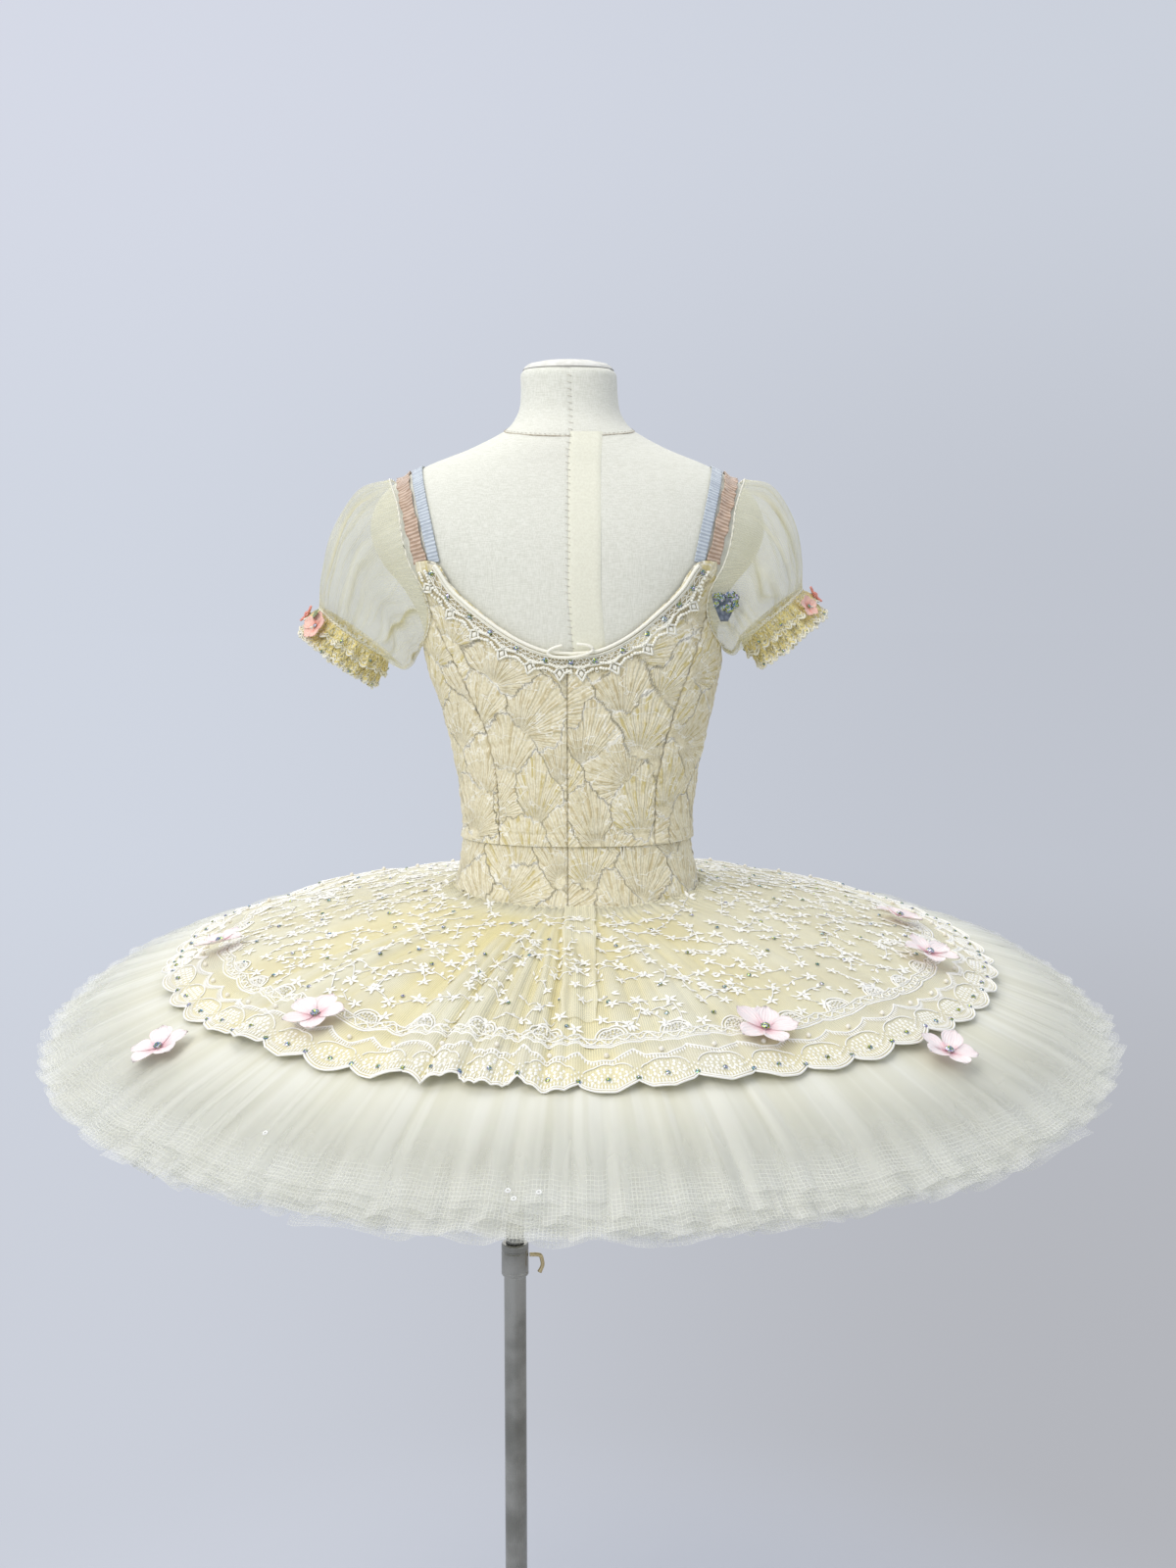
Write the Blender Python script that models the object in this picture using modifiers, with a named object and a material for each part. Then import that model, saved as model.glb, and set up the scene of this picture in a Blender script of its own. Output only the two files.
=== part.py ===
"""A classical tutu on a tailor's dress form, at its real size.

Metres, +Z up, the floor at z = 0. The wearer's front faces -Y, the back faces +Y and the left side is +X.
The linen form stands on a pole. The cloth is a set of thin walls, each one a lattice of sections that a
Solidify modifier thickens outwards.
"""

import math
import random

import bmesh
import bpy
from mathutils import Matrix, Vector
from mathutils.bvhtree import BVHTree

# Clearances and cloth
GAP = 0.0003  # between neighbours
CLOTH = 0.0012  # wall of one cloth
BROCADE = 0.0014  # wall of a bodice or basque panel
NET = 0.0011  # wall of a tulle layer

SETTLE_REACH = 0.012  # furthest that a part moves to its seat, either way
SETTLE_STEP = 0.0001

# The stand
POLE_X = 0.065  # the pole passes through the left leg opening
BASE_RADIUS = 0.19
BASE_EDGE = 0.006
BASE_TOP = 0.016
POLE_RADIUS = 0.011
UPPER_TUBE_RADIUS = 0.009
COLLAR_RADIUS = 0.0135
COLLAR_BOTTOM = 0.586
COLLAR_TOP = 0.619
FORM_BOTTOM = 0.800
NECK_TOP = 1.468
NECK_CAP = (  # share of its radius, height
    (0.00, 0.0100),
    (0.60, 0.0082),
    (0.92, 0.0040),
    (1.00, 0.0000),
    (0.00, 0.0000),
)
NECK_CAP_RADIUS = 0.0466
THUMBSCREW_RADIUS = 0.0022
THUMBSCREW = (  # out from the collar, up from its hole
    (0.000, 0.000),
    (-0.010, 0.001),
    (-0.014, -0.006),
    (-0.009, -0.015),
    (-0.002, -0.019),
)

# The form's sections: height, half width, depth to the front and to the back, and the lean to its left
BODY = (
    # z,     half,   front,  back,   lean
    (0.800, 0.128, 0.070, 0.082, 0.003),
    (0.808, 0.143, 0.080, 0.094, 0.003),
    (0.830, 0.153, 0.090, 0.104, 0.003),
    (0.870, 0.156, 0.095, 0.112, 0.003),
    (0.910, 0.147, 0.093, 0.108, 0.003),
    (0.945, 0.133, 0.088, 0.099, 0.003),
    (0.980, 0.1175, 0.083, 0.089, 0.003),
    (1.030, 0.1085, 0.080, 0.082, 0.003),
    (1.080, 0.1105, 0.083, 0.083, 0.003),
    (1.140, 0.1235, 0.094, 0.088, 0.003),
    (1.190, 0.136, 0.108, 0.093, 0.006),
    (1.235, 0.143, 0.110, 0.096, 0.010),
    (1.262, 0.155, 0.102, 0.096, 0.012),
    (1.290, 0.177, 0.091, 0.094, 0.012),
    (1.315, 0.187, 0.081, 0.090, 0.012),
    (1.338, 0.184, 0.072, 0.084, 0.012),
    (1.360, 0.168, 0.065, 0.077, 0.012),
    (1.380, 0.132, 0.060, 0.070, 0.012),
    (1.395, 0.094, 0.057, 0.065, 0.011),
    (1.412, 0.0620, 0.0530, 0.0570, 0.010),
    (1.424, 0.0515, 0.0490, 0.0505, 0.010),
    (1.438, 0.0470, 0.0470, 0.0470, 0.010),
    (1.468, 0.0460, 0.0465, 0.0455, 0.011),
)
ROUNDNESS = 2.2  # power of the sections' superellipse
FORM_SIDES = 22
FORM_INSET = 0.0012  # the hard form is this much smaller than the hollow of its clothes
FORM_MORE_ROWS = (0.962, 1.005, 1.055, 1.110, 1.165, 1.213, 1.248)  # heights between the table's

# Bodice and basque
BODICE_OUT = 0.0024  # the bodice hangs clear of the basque under it
HEM_Z = 1.028
BASQUE_TOP = 1.036
CLOSURE_X = 0.011  # the overlapped closure lies left of the middle
SEAM_SIDE_Z = 0.979  # where the skirt is sewn to the basque
SEAM_BACK_DROP = 0.0115
SEAM_FRONT_RISE = 0.010
ARMHOLE_MID_Z = 1.287
ARMHOLE_HALF_HEIGHT = 0.0755
ARMHOLE_HALF_DEPTH = 0.0605
ARMHOLE_ROUNDNESS = 2.6
PANEL_LEVELS = (HEM_Z, 1.065, 1.100, 1.140, 1.170, 1.200)  # rows that all the panels share
UPPER_LEVELS = (1.225, 1.250)  # rows above them at the princess seams, which end at the last one
TIP_LEVELS = (1.270,)  # rows from there to the strap tips
STRAP_TOP_Z = 1.289  # where the middle panels end under the straps
BACK_SEAM = (  # z, distance from the middle
    (1.020, 0.0700),
    (1.090, 0.0725),
    (1.135, 0.0830),
    (1.160, 0.0920),
    (1.250, 0.1285),
    (1.290, 0.1375),
)
FRONT_SEAM = (  # z, distance from the middle
    (1.020, 0.0520),
    (1.100, 0.0600),
    (1.170, 0.0780),
    (1.250, 0.1310),
    (1.290, 0.1385),
)
BACK_NECK = (  # distance from the middle, z
    (0.000, 1.2070),
    (0.024, 1.2100),
    (0.050, 1.2225),
    (0.075, 1.2415),
    (0.100, 1.2650),
    (0.116, 1.2880),
    (0.140, 1.2890),
)
FRONT_NECK = (  # distance from the middle, z
    (0.000, 1.2300),
    (0.030, 1.2380),
    (0.060, 1.2480),
    (0.085, 1.2620),
    (0.104, 1.2870),
    (0.142, 1.2890),
)

# Back neckline: a cord along its edge, a lace of hanging points below it and a small loop
LACE_OUT = BODICE_OUT + BROCADE + 3 * GAP
LACE_UNITS = 15
LACE_SPAN = 0.93  # share of the neckline that it covers
LACE_EDGE = 0.0031  # the lace starts this far below the neckline, under the cord
LACE_BAND = 0.0080
LACE_ARM = 0.0030  # width of a point's sides
LACE_TIP = 0.0200
LACE_HOLE_TIP = 0.0145
CORD_RADIUS = 0.0018
CORD_SPAN = 0.985
CORD_DROP = 0.0006
LOOP_RADIUS = 0.0009
LOOP_HALF_WIDTH = 0.0145
LOOP_HALF_HEIGHT = 0.0040
LOOP_Z = 1.2060
THREAD_RADIUS = 0.0006
THREAD_X = -0.043
THREAD_WIDTH = 0.0035
THREAD_DROP = 0.010
APPLIQUE_X = -0.1380
APPLIQUE_TOP = 1.2600
APPLIQUE_HEIGHT = 0.026
APPLIQUE_HALF_WIDTH = 0.0155
APPLIQUE_TIP_HALF_WIDTH = 0.0030
APPLIQUE_ROWS = 4

# Shoulder straps, from the bodice's back tip over the shoulder to its front tip
STRAPS = (
    # name, half width, distance from the middle: top, back end, front end, clearance, ruffle height, waves
    ("blue", 0.0054, 0.1400, 0.1205, 0.1120, 0.0009, 0.0008, 6),
    ("rose", 0.0054, 0.1530, 0.1330, 0.1245, 0.0002, 0.0022, 8),
)
STRAP_END_Z = 1.2915
SIDES_A_RUFFLE = 3

# Sleeves: outer top and inner bottom of each section, out from the shoulder's middle
SLEEVE = (
    # top_x, top_z, bottom_x, bottom_z, half_depth
    (0.196, 1.3560, 0.1460, 1.2040, 0.0640),
    (0.219, 1.3200, 0.1520, 1.1950, 0.0700),
    (0.230, 1.2800, 0.1620, 1.1900, 0.0640),
    (0.234, 1.2480, 0.1730, 1.2010, 0.0390),
)
SLEEVE_OUT = BODICE_OUT + BROCADE + 6 * GAP  # the sleeve's edge lies over the bodice's
SLEEVE_SIDES = 28
SLEEVE_GATHERS = 6
GATHER_SWELL = 0.037  # share by which a gather widens and narrows the sleeve
CUFF = (
    # along the arm from the sleeve's end, radius, ruffle height
    (0.0014, 0.0390, 0.0000),
    (0.010, 0.0388, 0.0008),
    (0.022, 0.0388, 0.0025),
    (0.034, 0.0398, 0.0045),
)
CUFF_TRIMS = (
    # name, place round the cuff in degrees, along it, radius, colour
    ("cuff_flower", 40, 0.014, 0.015, (0.93, 0.55, 0.42)),
    ("cuff_bead_flower", 8, 0.012, 0.009, (0.90, 0.42, 0.34)),
)
CUFF_TRIM_LIFT = 0.0042
CUFF_FLOWER_CUP = 0.2  # share of the flower's radius
CUFF_SIDES = 24
CUFF_WAVES = 8
ARMS = (
    # side, sign of x, how much further out and higher the cuff hangs
    ("left", 1, 0.003, -0.002),
    ("right", -1, -0.011, 0.016),
)

# Skirt
RIM_Z = 0.876
RIM_TILT = 0.048  # higher at the front
RIM_SAG = 0.005  # lower at the sides
SEAM_OUT = 4 * GAP + 1.2 * CLOTH  # the hips slope, so the knickers' wall is wider on the level
FALL_POWER = 1.25
FALL_POWER_BACK = 0.30
TULLE_MID = 0.27  # radii that all the layers share
TULLE_LACE = 0.39
RIM_RADIUS = 0.503
TULLE = (
    # name, rim radius, below the seam, below the rim, pleats, sides a pleat, radii between seam and rim
    ("tulle_top", RIM_RADIUS, 0.0065, 0.000, 48, 3, (TULLE_MID, TULLE_LACE)),
    ("tulle_second", 0.497, 0.0130, 0.019, 27, 3, (0.30,)),
    ("tulle_third", 0.480, 0.0200, 0.037, 18, 3, (0.30,)),
)
UNDER_SEAM = TULLE[0][2]
TULLE_CREST = 1.35 * NET + GAP
PLEAT_IN = 0.0012  # height of a pleat at the seam
PLEAT_RIM = 0.0062
PLEAT_TIP = 0.006  # how much further out a pleat's crest reaches
OVERLAY_SIDES = 108
OVERLAY_FOLDS = 12
OVERLAY_SCALLOPS = 36
FOLD_SEAM = 0.001
FOLD_RIM = 0.011
FOLD_DEEPEST = 60  # direction in degrees where the folds stand highest
OVERLAY_TOP_RADIUS = 0.345
OVERLAY_UNDER_RADIUS = 0.394
SCALLOP_TOP = 0.0025
SCALLOP_UNDER = 0.0045
PLACKET_HALF_WIDTH = 0.016
PLACKET_END = 0.300
PLACKET_START = 0.004  # out from the seam
PLACKET_LIFT = 0.0008
KNICKERS_LEVELS = (0.962, 0.945, 0.910, 0.870, 0.830, 0.808)
LEG_RADIUS = 0.060
LEG_X = 0.074
LEG_SPLAY = 25  # degrees

# Flowers: distance from the axis, direction in degrees, turn in degrees
SKIRT_FLOWERS = (
    # name, radius, azimuth, turn
    ("back_1", 0.4340, 35.2, 10),
    ("back_2", 0.3560, 52.4, 35),
    ("side_1", 0.3440, 12.3, 0),
    ("back_3", 0.3500, 115.4, 20),
    ("back_4", 0.4180, 136.8, 50),
    ("side_2", 0.3380, 161.3, 0),
    ("side_3", 0.3150, 184.3, 30),
)
PETALS = 5
PETAL = ((0.00, 0.42), (0.22, 0.90), (0.50, 1.0), (0.78, 0.90))  # share of the petal's turn, distance
FLOWER_RADIUS = 0.029
FLOWER_LIFT = 0.0012
FLOWER_CUP = 0.005

# Colours
LINEN = (0.86, 0.85, 0.80)
IVORY = (0.90, 0.89, 0.80)
GOLD = (0.80, 0.74, 0.50)
BROCADE_COLOUR = (0.86, 0.80, 0.62)
BLUE = (0.55, 0.60, 0.68)
ROSE = (0.66, 0.48, 0.42)
PINK = (0.93, 0.74, 0.76)
SLATE = (0.28, 0.34, 0.44)
WHITE = (0.92, 0.91, 0.87)
STEEL = (0.62, 0.61, 0.60)

for old in list(bpy.data.objects):
    bpy.data.objects.remove(old, do_unlink=True)
parts = bpy.data.collections.new("ballet_tutu")
cutters = bpy.data.collections.new("cutters")
bpy.context.scene.collection.children.link(parts)
bpy.context.scene.collection.children.link(cutters)


# ---------------------------------------------------------------- shared tools
def paint(name, colour, roughness=0.8, metallic=0.0):
    material = bpy.data.materials.new(name)
    material.use_nodes = True
    shader = material.node_tree.nodes["Principled BSDF"]
    shader.inputs["Base Color"].default_value = (*colour, 1.0)
    shader.inputs["Roughness"].default_value = roughness
    shader.inputs["Metallic"].default_value = metallic
    return material


def add(name, mesh, colour, roughness=0.8, metallic=0.0):
    """Puts a mesh in the collection as one part with its own material."""
    part = bpy.data.objects.new(name, mesh)
    part.data.materials.append(paint(name, colour, roughness, metallic))
    part.data.shade_smooth()
    parts.objects.link(part)
    return part


def thicken(part, thickness):
    solidify = part.modifiers.new("Wall", "SOLIDIFY")
    solidify.thickness = thickness
    solidify.offset = 1.0
    return part


def lattice(name, rows, ring):
    """An open surface through rows of points; a ring's rows close on themselves."""
    mesh = bpy.data.meshes.new(name)
    bm = bmesh.new()
    grid = [[bm.verts.new(p) for p in row] for row in rows]
    count = len(rows[0])
    for low, high in zip(grid, grid[1:]):
        for i in range(count if ring else count - 1):
            j = (i + 1) % count
            bm.faces.new((low[i], low[j], high[j], high[i]))
    bm.to_mesh(mesh)
    bm.free()
    return mesh


def wall(name, rows, thickness, colour, ring=True, roughness=0.8):
    return thicken(add(name, lattice(name, rows, ring), colour, roughness), thickness)


def tube(name, points, radius, sides, colour, roughness=0.5, metallic=0.0):
    """A cord or wire through points, with closed ends."""
    curve = bpy.data.curves.new(name, "CURVE")
    curve.dimensions = "3D"
    curve.bevel_depth = radius
    curve.bevel_resolution = sides // 2 - 2
    curve.use_fill_caps = True
    spline = curve.splines.new("POLY")
    spline.points.add(len(points) - 1)
    for point, place in zip(spline.points, points):
        point.co = (*place, 1.0)
    part = bpy.data.objects.new(name, curve)
    part.data.materials.append(paint(name, colour, roughness, metallic))
    parts.objects.link(part)
    return part


def turned(name, profile, colour, roughness, metallic, steps=32):
    """A solid of revolution; its profile runs from top to bottom at +X."""
    mesh = bpy.data.meshes.new(name)
    points = [(r, 0.0, z) for r, z in profile]
    mesh.from_pydata(points, [(i, i + 1) for i in range(len(points) - 1)], [])
    part = add(name, mesh, colour, roughness, metallic)
    screw = part.modifiers.new("Turn", "SCREW")
    screw.steps = screw.render_steps = steps
    screw.use_merge_vertices = True
    screw.merge_threshold = 0.00005
    return part


def skin(part):
    """A part's finished surface, for finding where it meets another."""
    bpy.context.view_layer.update()
    finished = part.evaluated_get(bpy.context.evaluated_depsgraph_get())
    mesh = finished.to_mesh()
    mesh.calc_loop_triangles()
    points = [finished.matrix_world @ v.co for v in mesh.vertices]
    faces = [tuple(t.vertices) for t in mesh.loop_triangles]
    finished.to_mesh_clear()
    return points, faces


def settle(part, towards, supports):
    """Moves a part along a direction until it is one gap short of what carries it."""
    towards = towards.normalized()
    rests = [BVHTree.FromPolygons(*skin(s)) for s in supports]
    points, faces = skin(part)

    def clear(distance):
        moved = BVHTree.FromPolygons([p + towards * distance for p in points], faces)
        return not any(moved.overlap(rest) for rest in rests)

    near, far = -SETTLE_REACH, SETTLE_STEP - SETTLE_REACH
    while far < SETTLE_REACH and clear(far):
        near, far = far, far + SETTLE_STEP
    for _ in range(8):
        middle = (near + far) / 2
        near, far = (middle, far) if clear(middle) else (near, middle)
    part.location += towards * (near - GAP)


def blend(table, at, column):
    """A smooth value between a table's rows, whose first column rises."""
    if at <= table[0][0]:
        return table[0][column]
    for i in range(len(table) - 1):
        if at <= table[i + 1][0]:
            break
    else:
        return table[-1][column]
    rows = [table[max(i - 1, 0)], table[i], table[i + 1], table[min(i + 2, len(table) - 1)]]
    place = [row[0] for row in rows]
    value = [row[column] for row in rows]
    span = place[2] - place[1]
    t = (at - place[1]) / span
    start = (value[2] - value[0]) / (place[2] - place[0]) * span
    end = (value[3] - value[1]) / (place[3] - place[1]) * span
    return (
        value[1] * (2 * t**3 - 3 * t**2 + 1)
        + start * (t**3 - 2 * t**2 + t)
        + value[2] * (3 * t**2 - 2 * t**3)
        + end * (t**3 - t**2)
    )


def steps(first, last, count):
    return [first + (last - first) * i / (count - 1) for i in range(count)]


# ---------------------------------------------------------------- the body's surface
def lean(z):
    return blend(BODY, z, 4)


def reach(angle, z, out=0.0):
    """How far a section goes from its middle in one direction."""
    depth = blend(BODY, z, 3 if math.sin(angle) > 0 else 2)
    across = abs(math.cos(angle)) / (blend(BODY, z, 1) + out)
    along = abs(math.sin(angle)) / (depth + out)
    return (across**ROUNDNESS + along**ROUNDNESS) ** (-1 / ROUNDNESS)


def body(angle, z, out=0.0):
    """A point of the form's surface, moved out level."""
    r = reach(angle, z, out)
    return Vector((lean(z) + r * math.cos(angle), r * math.sin(angle), z))


def angle_at(x, z, back=True):
    """The direction of the surface's point that lies x from the middle."""
    share = min(abs(x) / blend(BODY, z, 1), 1.0)
    y = blend(BODY, z, 3 if back else 2) * (1 - share**ROUNDNESS) ** (1 / ROUNDNESS)
    return math.atan2(y if back else -y, x)


def depth_inside(p):
    """Negative inside the form and positive outside it, in metres near the surface."""
    x = p.x - lean(p.z)
    angle = math.atan2(p.y, x)
    return math.hypot(x, p.y) - reach(angle, p.z)


def slope(p):
    h = 0.0005
    near = [Vector((h, 0, 0)), Vector((0, h, 0)), Vector((0, 0, h))]
    return Vector([(depth_inside(p + d) - depth_inside(p - d)) / (2 * h) for d in near])


def seated(p, out=0.0):
    """The nearest point of the form's surface, moved out square to it."""
    p = Vector(p)
    for _ in range(12):
        up = slope(p)
        p -= up * (depth_inside(p) / up.length_squared)
    return p + slope(p).normalized() * out


# ---------------------------------------------------------------- form and stand
def make_form():
    heights = sorted([row[0] for row in BODY] + list(FORM_MORE_ROWS))
    around = [2 * math.pi * i / FORM_SIDES for i in range(FORM_SIDES)]
    torso = lattice("form_torso", [[body(a, z, -FORM_INSET) for a in around] for z in heights], True)
    bm = bmesh.new()
    bm.from_mesh(torso)
    bmesh.ops.holes_fill(bm, edges=[e for e in bm.edges if e.is_boundary])
    bmesh.ops.recalc_face_normals(bm, faces=bm.faces)
    bm.to_mesh(torso)
    bm.free()
    torso.update()
    part = add("form_torso", torso, LINEN, 0.9)
    part.data.set_sharp_from_angle(angle=math.radians(50))
    profile = [(NECK_CAP_RADIUS * share, z) for share, z in NECK_CAP]
    cap = turned("form_neck_cap", profile, LINEN, 0.9, 0.0, FORM_SIDES)
    cap.location = (lean(NECK_TOP), 0.0, NECK_TOP + GAP)


def make_stand():
    base = turned(
        "stand_base",
        (
            (0.0, BASE_TOP),
            (BASE_RADIUS * 0.35, BASE_TOP - 0.001),
            (BASE_RADIUS * 0.8, BASE_TOP - 0.005),
            (BASE_RADIUS, BASE_EDGE),
            (BASE_RADIUS, 0.0),
            (0.0, 0.0),
        ),
        STEEL,
        0.35,
        1.0,
        40,
    )
    base.location.x = POLE_X
    rods = (
        ("stand_pole", POLE_RADIUS, BASE_TOP + GAP, COLLAR_BOTTOM, 20),
        ("stand_collar", COLLAR_RADIUS, COLLAR_BOTTOM + GAP, COLLAR_TOP, 20),
        ("stand_upper_tube", UPPER_TUBE_RADIUS, COLLAR_TOP + GAP, FORM_BOTTOM - GAP, 16),
    )
    for name, radius, low, high, sides in rods:
        mesh = bpy.data.meshes.new(name)
        bm = bmesh.new()
        bmesh.ops.create_cone(
            bm, cap_ends=True, segments=sides, radius1=radius, radius2=radius, depth=high - low
        )
        bm.to_mesh(mesh)
        bm.free()
        rod = add(name, mesh, STEEL, 0.25, 1.0)
        rod.data.set_sharp_from_angle(angle=math.radians(50))
        rod.location = (POLE_X, 0.0, (low + high) / 2)
    height = (COLLAR_BOTTOM + COLLAR_TOP) / 2 + 0.004
    start = -COLLAR_RADIUS - GAP
    points = [(POLE_X + start + x, 0.0, height + z) for x, z in THUMBSCREW]
    tube("stand_thumbscrew", points, THUMBSCREW_RADIUS, 8, STEEL, 0.3, 1.0)


# ---------------------------------------------------------------- bodice and basque
def seam_z(angle):
    """Height of the seam between basque and skirt."""
    s = math.sin(angle)
    return SEAM_SIDE_Z - (SEAM_BACK_DROP if s > 0 else SEAM_FRONT_RISE) * s


def seam_angle(table, side, back, inset=0.0):
    """A princess seam on one side, as an angle for each height."""
    return lambda z: angle_at(side * (blend(table, z, 1) + inset), z, back)


def closure_angle(shift):
    return lambda z: angle_at(CLOSURE_X - lean(z) + shift, z)


def flank_angle(flank, shift):
    """The side seam, a little to one side of it."""
    return lambda z: flank + shift / reach(flank, z)


def neckline(table):
    """A top edge that follows a neckline; it takes a column's angle for each height."""

    def height(column, share):
        z = 1.24
        for _ in range(8):
            z = blend(table, abs(reach(column(z), z) * math.cos(column(z))), 1)
        return z

    return height


def armhole_edge(towards_last):
    """A top edge that rises from the side seam to a princess seam; it goes by the column's share."""
    low, high = ARMHOLE_MID_Z - ARMHOLE_HALF_HEIGHT, UPPER_LEVELS[-1]

    def height(column, share):
        share = share if towards_last else 1 - share
        return low + (high - low) * share**2

    return height


def panel(name, first, last, columns, levels, top, upper, out):
    """A panel between two upright edges, whose rows stand at fixed levels and then share what is left."""
    grid = [[] for _ in range(len(levels) + len(upper))]
    for i in range(columns + 1):
        u = i / columns
        column = lambda z, u=u: first(z) + (last(z) - first(z)) * u
        high = top(column, u)
        base = levels[-1]
        heights = [z(column) if callable(z) else z for z in levels]
        heights += [base + (high - base) * share for share in upper]
        for row, z in zip(grid, heights):
            row.append(body(column(z), z, out))
    return wall(name, grid, BROCADE, BROCADE_COLOUR, ring=False, roughness=0.6)


def shares_above(levels):
    """Where levels lie between the shared rows and the last level."""
    base = PANEL_LEVELS[-1]
    return [(z - base) / (levels[-1] - base) for z in levels]


def make_bodice():
    slit = 0.5 * GAP
    middle_rows = shares_above((*UPPER_LEVELS, *TIP_LEVELS, STRAP_TOP_Z))
    side_rows = shares_above(UPPER_LEVELS)
    back, front = neckline(BACK_NECK), neckline(FRONT_NECK)
    for name, side, flank in (("left", 1, 0.0), ("right", -1, math.pi)):
        closed = closure_angle(side * slit)
        outer = seam_angle(BACK_SEAM, side, True, -slit)
        inner = seam_angle(BACK_SEAM, side, True, slit)
        behind = flank_angle(flank, side * slit)
        before = flank_angle(flank, -side * slit)
        round_front = seam_angle(FRONT_SEAM, side, False, slit)
        front_edge = lambda z, f=round_front, n=flank: f(z) + (2 * math.pi if n else 0.0)
        pieces = (
            # piece, the edges from the wearer's back to the front, columns, top edge, upper rows
            ("centre_back", closed, outer, 8, back, middle_rows),
            ("side_back", inner, behind, 5, None, side_rows),
            ("side_front", before, front_edge, 5, None, side_rows),
        )
        for piece, first, last, columns, top, upper in pieces:
            if side > 0:
                first, last = last, first
            if top is None:
                top = armhole_edge((piece == "side_front") == (side < 0))
            panel(f"bodice_{piece}_{name}", first, last, columns, PANEL_LEVELS, top, upper, BODICE_OUT)
    right, left = (seam_angle(FRONT_SEAM, side, False, -slit) for side in (-1, 1))
    panel("bodice_centre_front", right, left, 10, PANEL_LEVELS, front, middle_rows, BODICE_OUT)


def make_basque():
    slit = 0.5 * GAP
    pieces = (
        # name, first edge, last edge, columns
        ("basque_back_left", flank_angle(0.0, slit), closure_angle(slit), 8),
        ("basque_back_right", closure_angle(-slit), flank_angle(math.pi, -slit), 8),
        ("basque_front", flank_angle(-math.pi, slit), flank_angle(0.0, -slit), 16),
    )
    for name, first, last, columns in pieces:
        levels = (lambda column: seam_z(column(SEAM_SIDE_Z)), 0.9985, 1.0165)
        panel(name, first, last, columns, levels, lambda column, u: BASQUE_TOP, (1.0,), GAP)


# ---------------------------------------------------------------- straps and back trim
def shoulder_top(x):
    """Height of the shoulder over a place x from the middle."""
    low, high = 1.32, 1.41
    for _ in range(40):
        z = (low + high) / 2
        low, high = (z, high) if blend(BODY, z, 1) > x else (low, z)
    return low


def make_straps():
    for name, half, top_x, back_x, front_x, out, ruffle, waves in STRAPS:
        peak = shoulder_top(top_x)
        stations = waves * SIDES_A_RUFFLE
        for side_name, side in (("left", 1), ("right", -1)):
            grid = []
            for k in range(stations + 1):
                s = 2 * k / stations - 1
                end_x = back_x if s > 0 else front_x
                fall = 1 - math.cos(s * math.pi / 2)
                x = top_x + (end_x - top_x) * fall
                z = peak - (peak - STRAP_END_Z) * fall
                depth = blend(BODY, z, 3 if s > 0 else 2)
                share = min(x / blend(BODY, z, 1), 1.0)
                y = depth * (1 - share**ROUNDNESS) ** (1 / ROUNDNESS)
                middle = Vector((lean(z) + side * x, math.copysign(y, s), z))
                up = slope(seated(middle)).normalized()
                along = Vector((side * (end_x - top_x) * math.sin(abs(s) * math.pi / 2), 0.0, 0.0))
                along += Vector((0, math.copysign(1.0, s) * math.cos(s * math.pi / 2), 0)) * 0.05
                along += Vector((0, 0, -math.sin(abs(s) * math.pi / 2))) * (peak - STRAP_END_Z)
                across = up.cross(along.normalized() * (1 if s > 0 else -1)).normalized()
                lift = ruffle * (1 - math.cos(waves * math.pi * (s + 1))) / 2
                row = [seated(middle + across * w, lift * abs(w / half) + out) for w in (-half, 0.0, half)]
                grid.append(row)
            wall(f"strap_{name}_{side_name}", grid, CLOTH, BLUE if name == "blue" else ROSE, ring=False)


def neckline_point(s, drop, out):
    """A point of the back neckline, s from -1 (right tip) to 1 (left tip), drop below its edge."""
    tip = BACK_NECK[-2][0]
    x = s * tip
    z = blend(BACK_NECK, abs(x), 1)
    step = 0.01
    rise = blend(BACK_NECK, min(abs(x) + step, tip), 1) - blend(BACK_NECK, max(abs(x) - step, 0), 1)
    run = min(abs(x) + step, tip) - max(abs(x) - step, 0)
    square = Vector((math.copysign(rise, x), -run)).normalized()
    x, z = x + square.x * drop, z + square.y * drop
    return body(angle_at(x, z), z, out)


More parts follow.
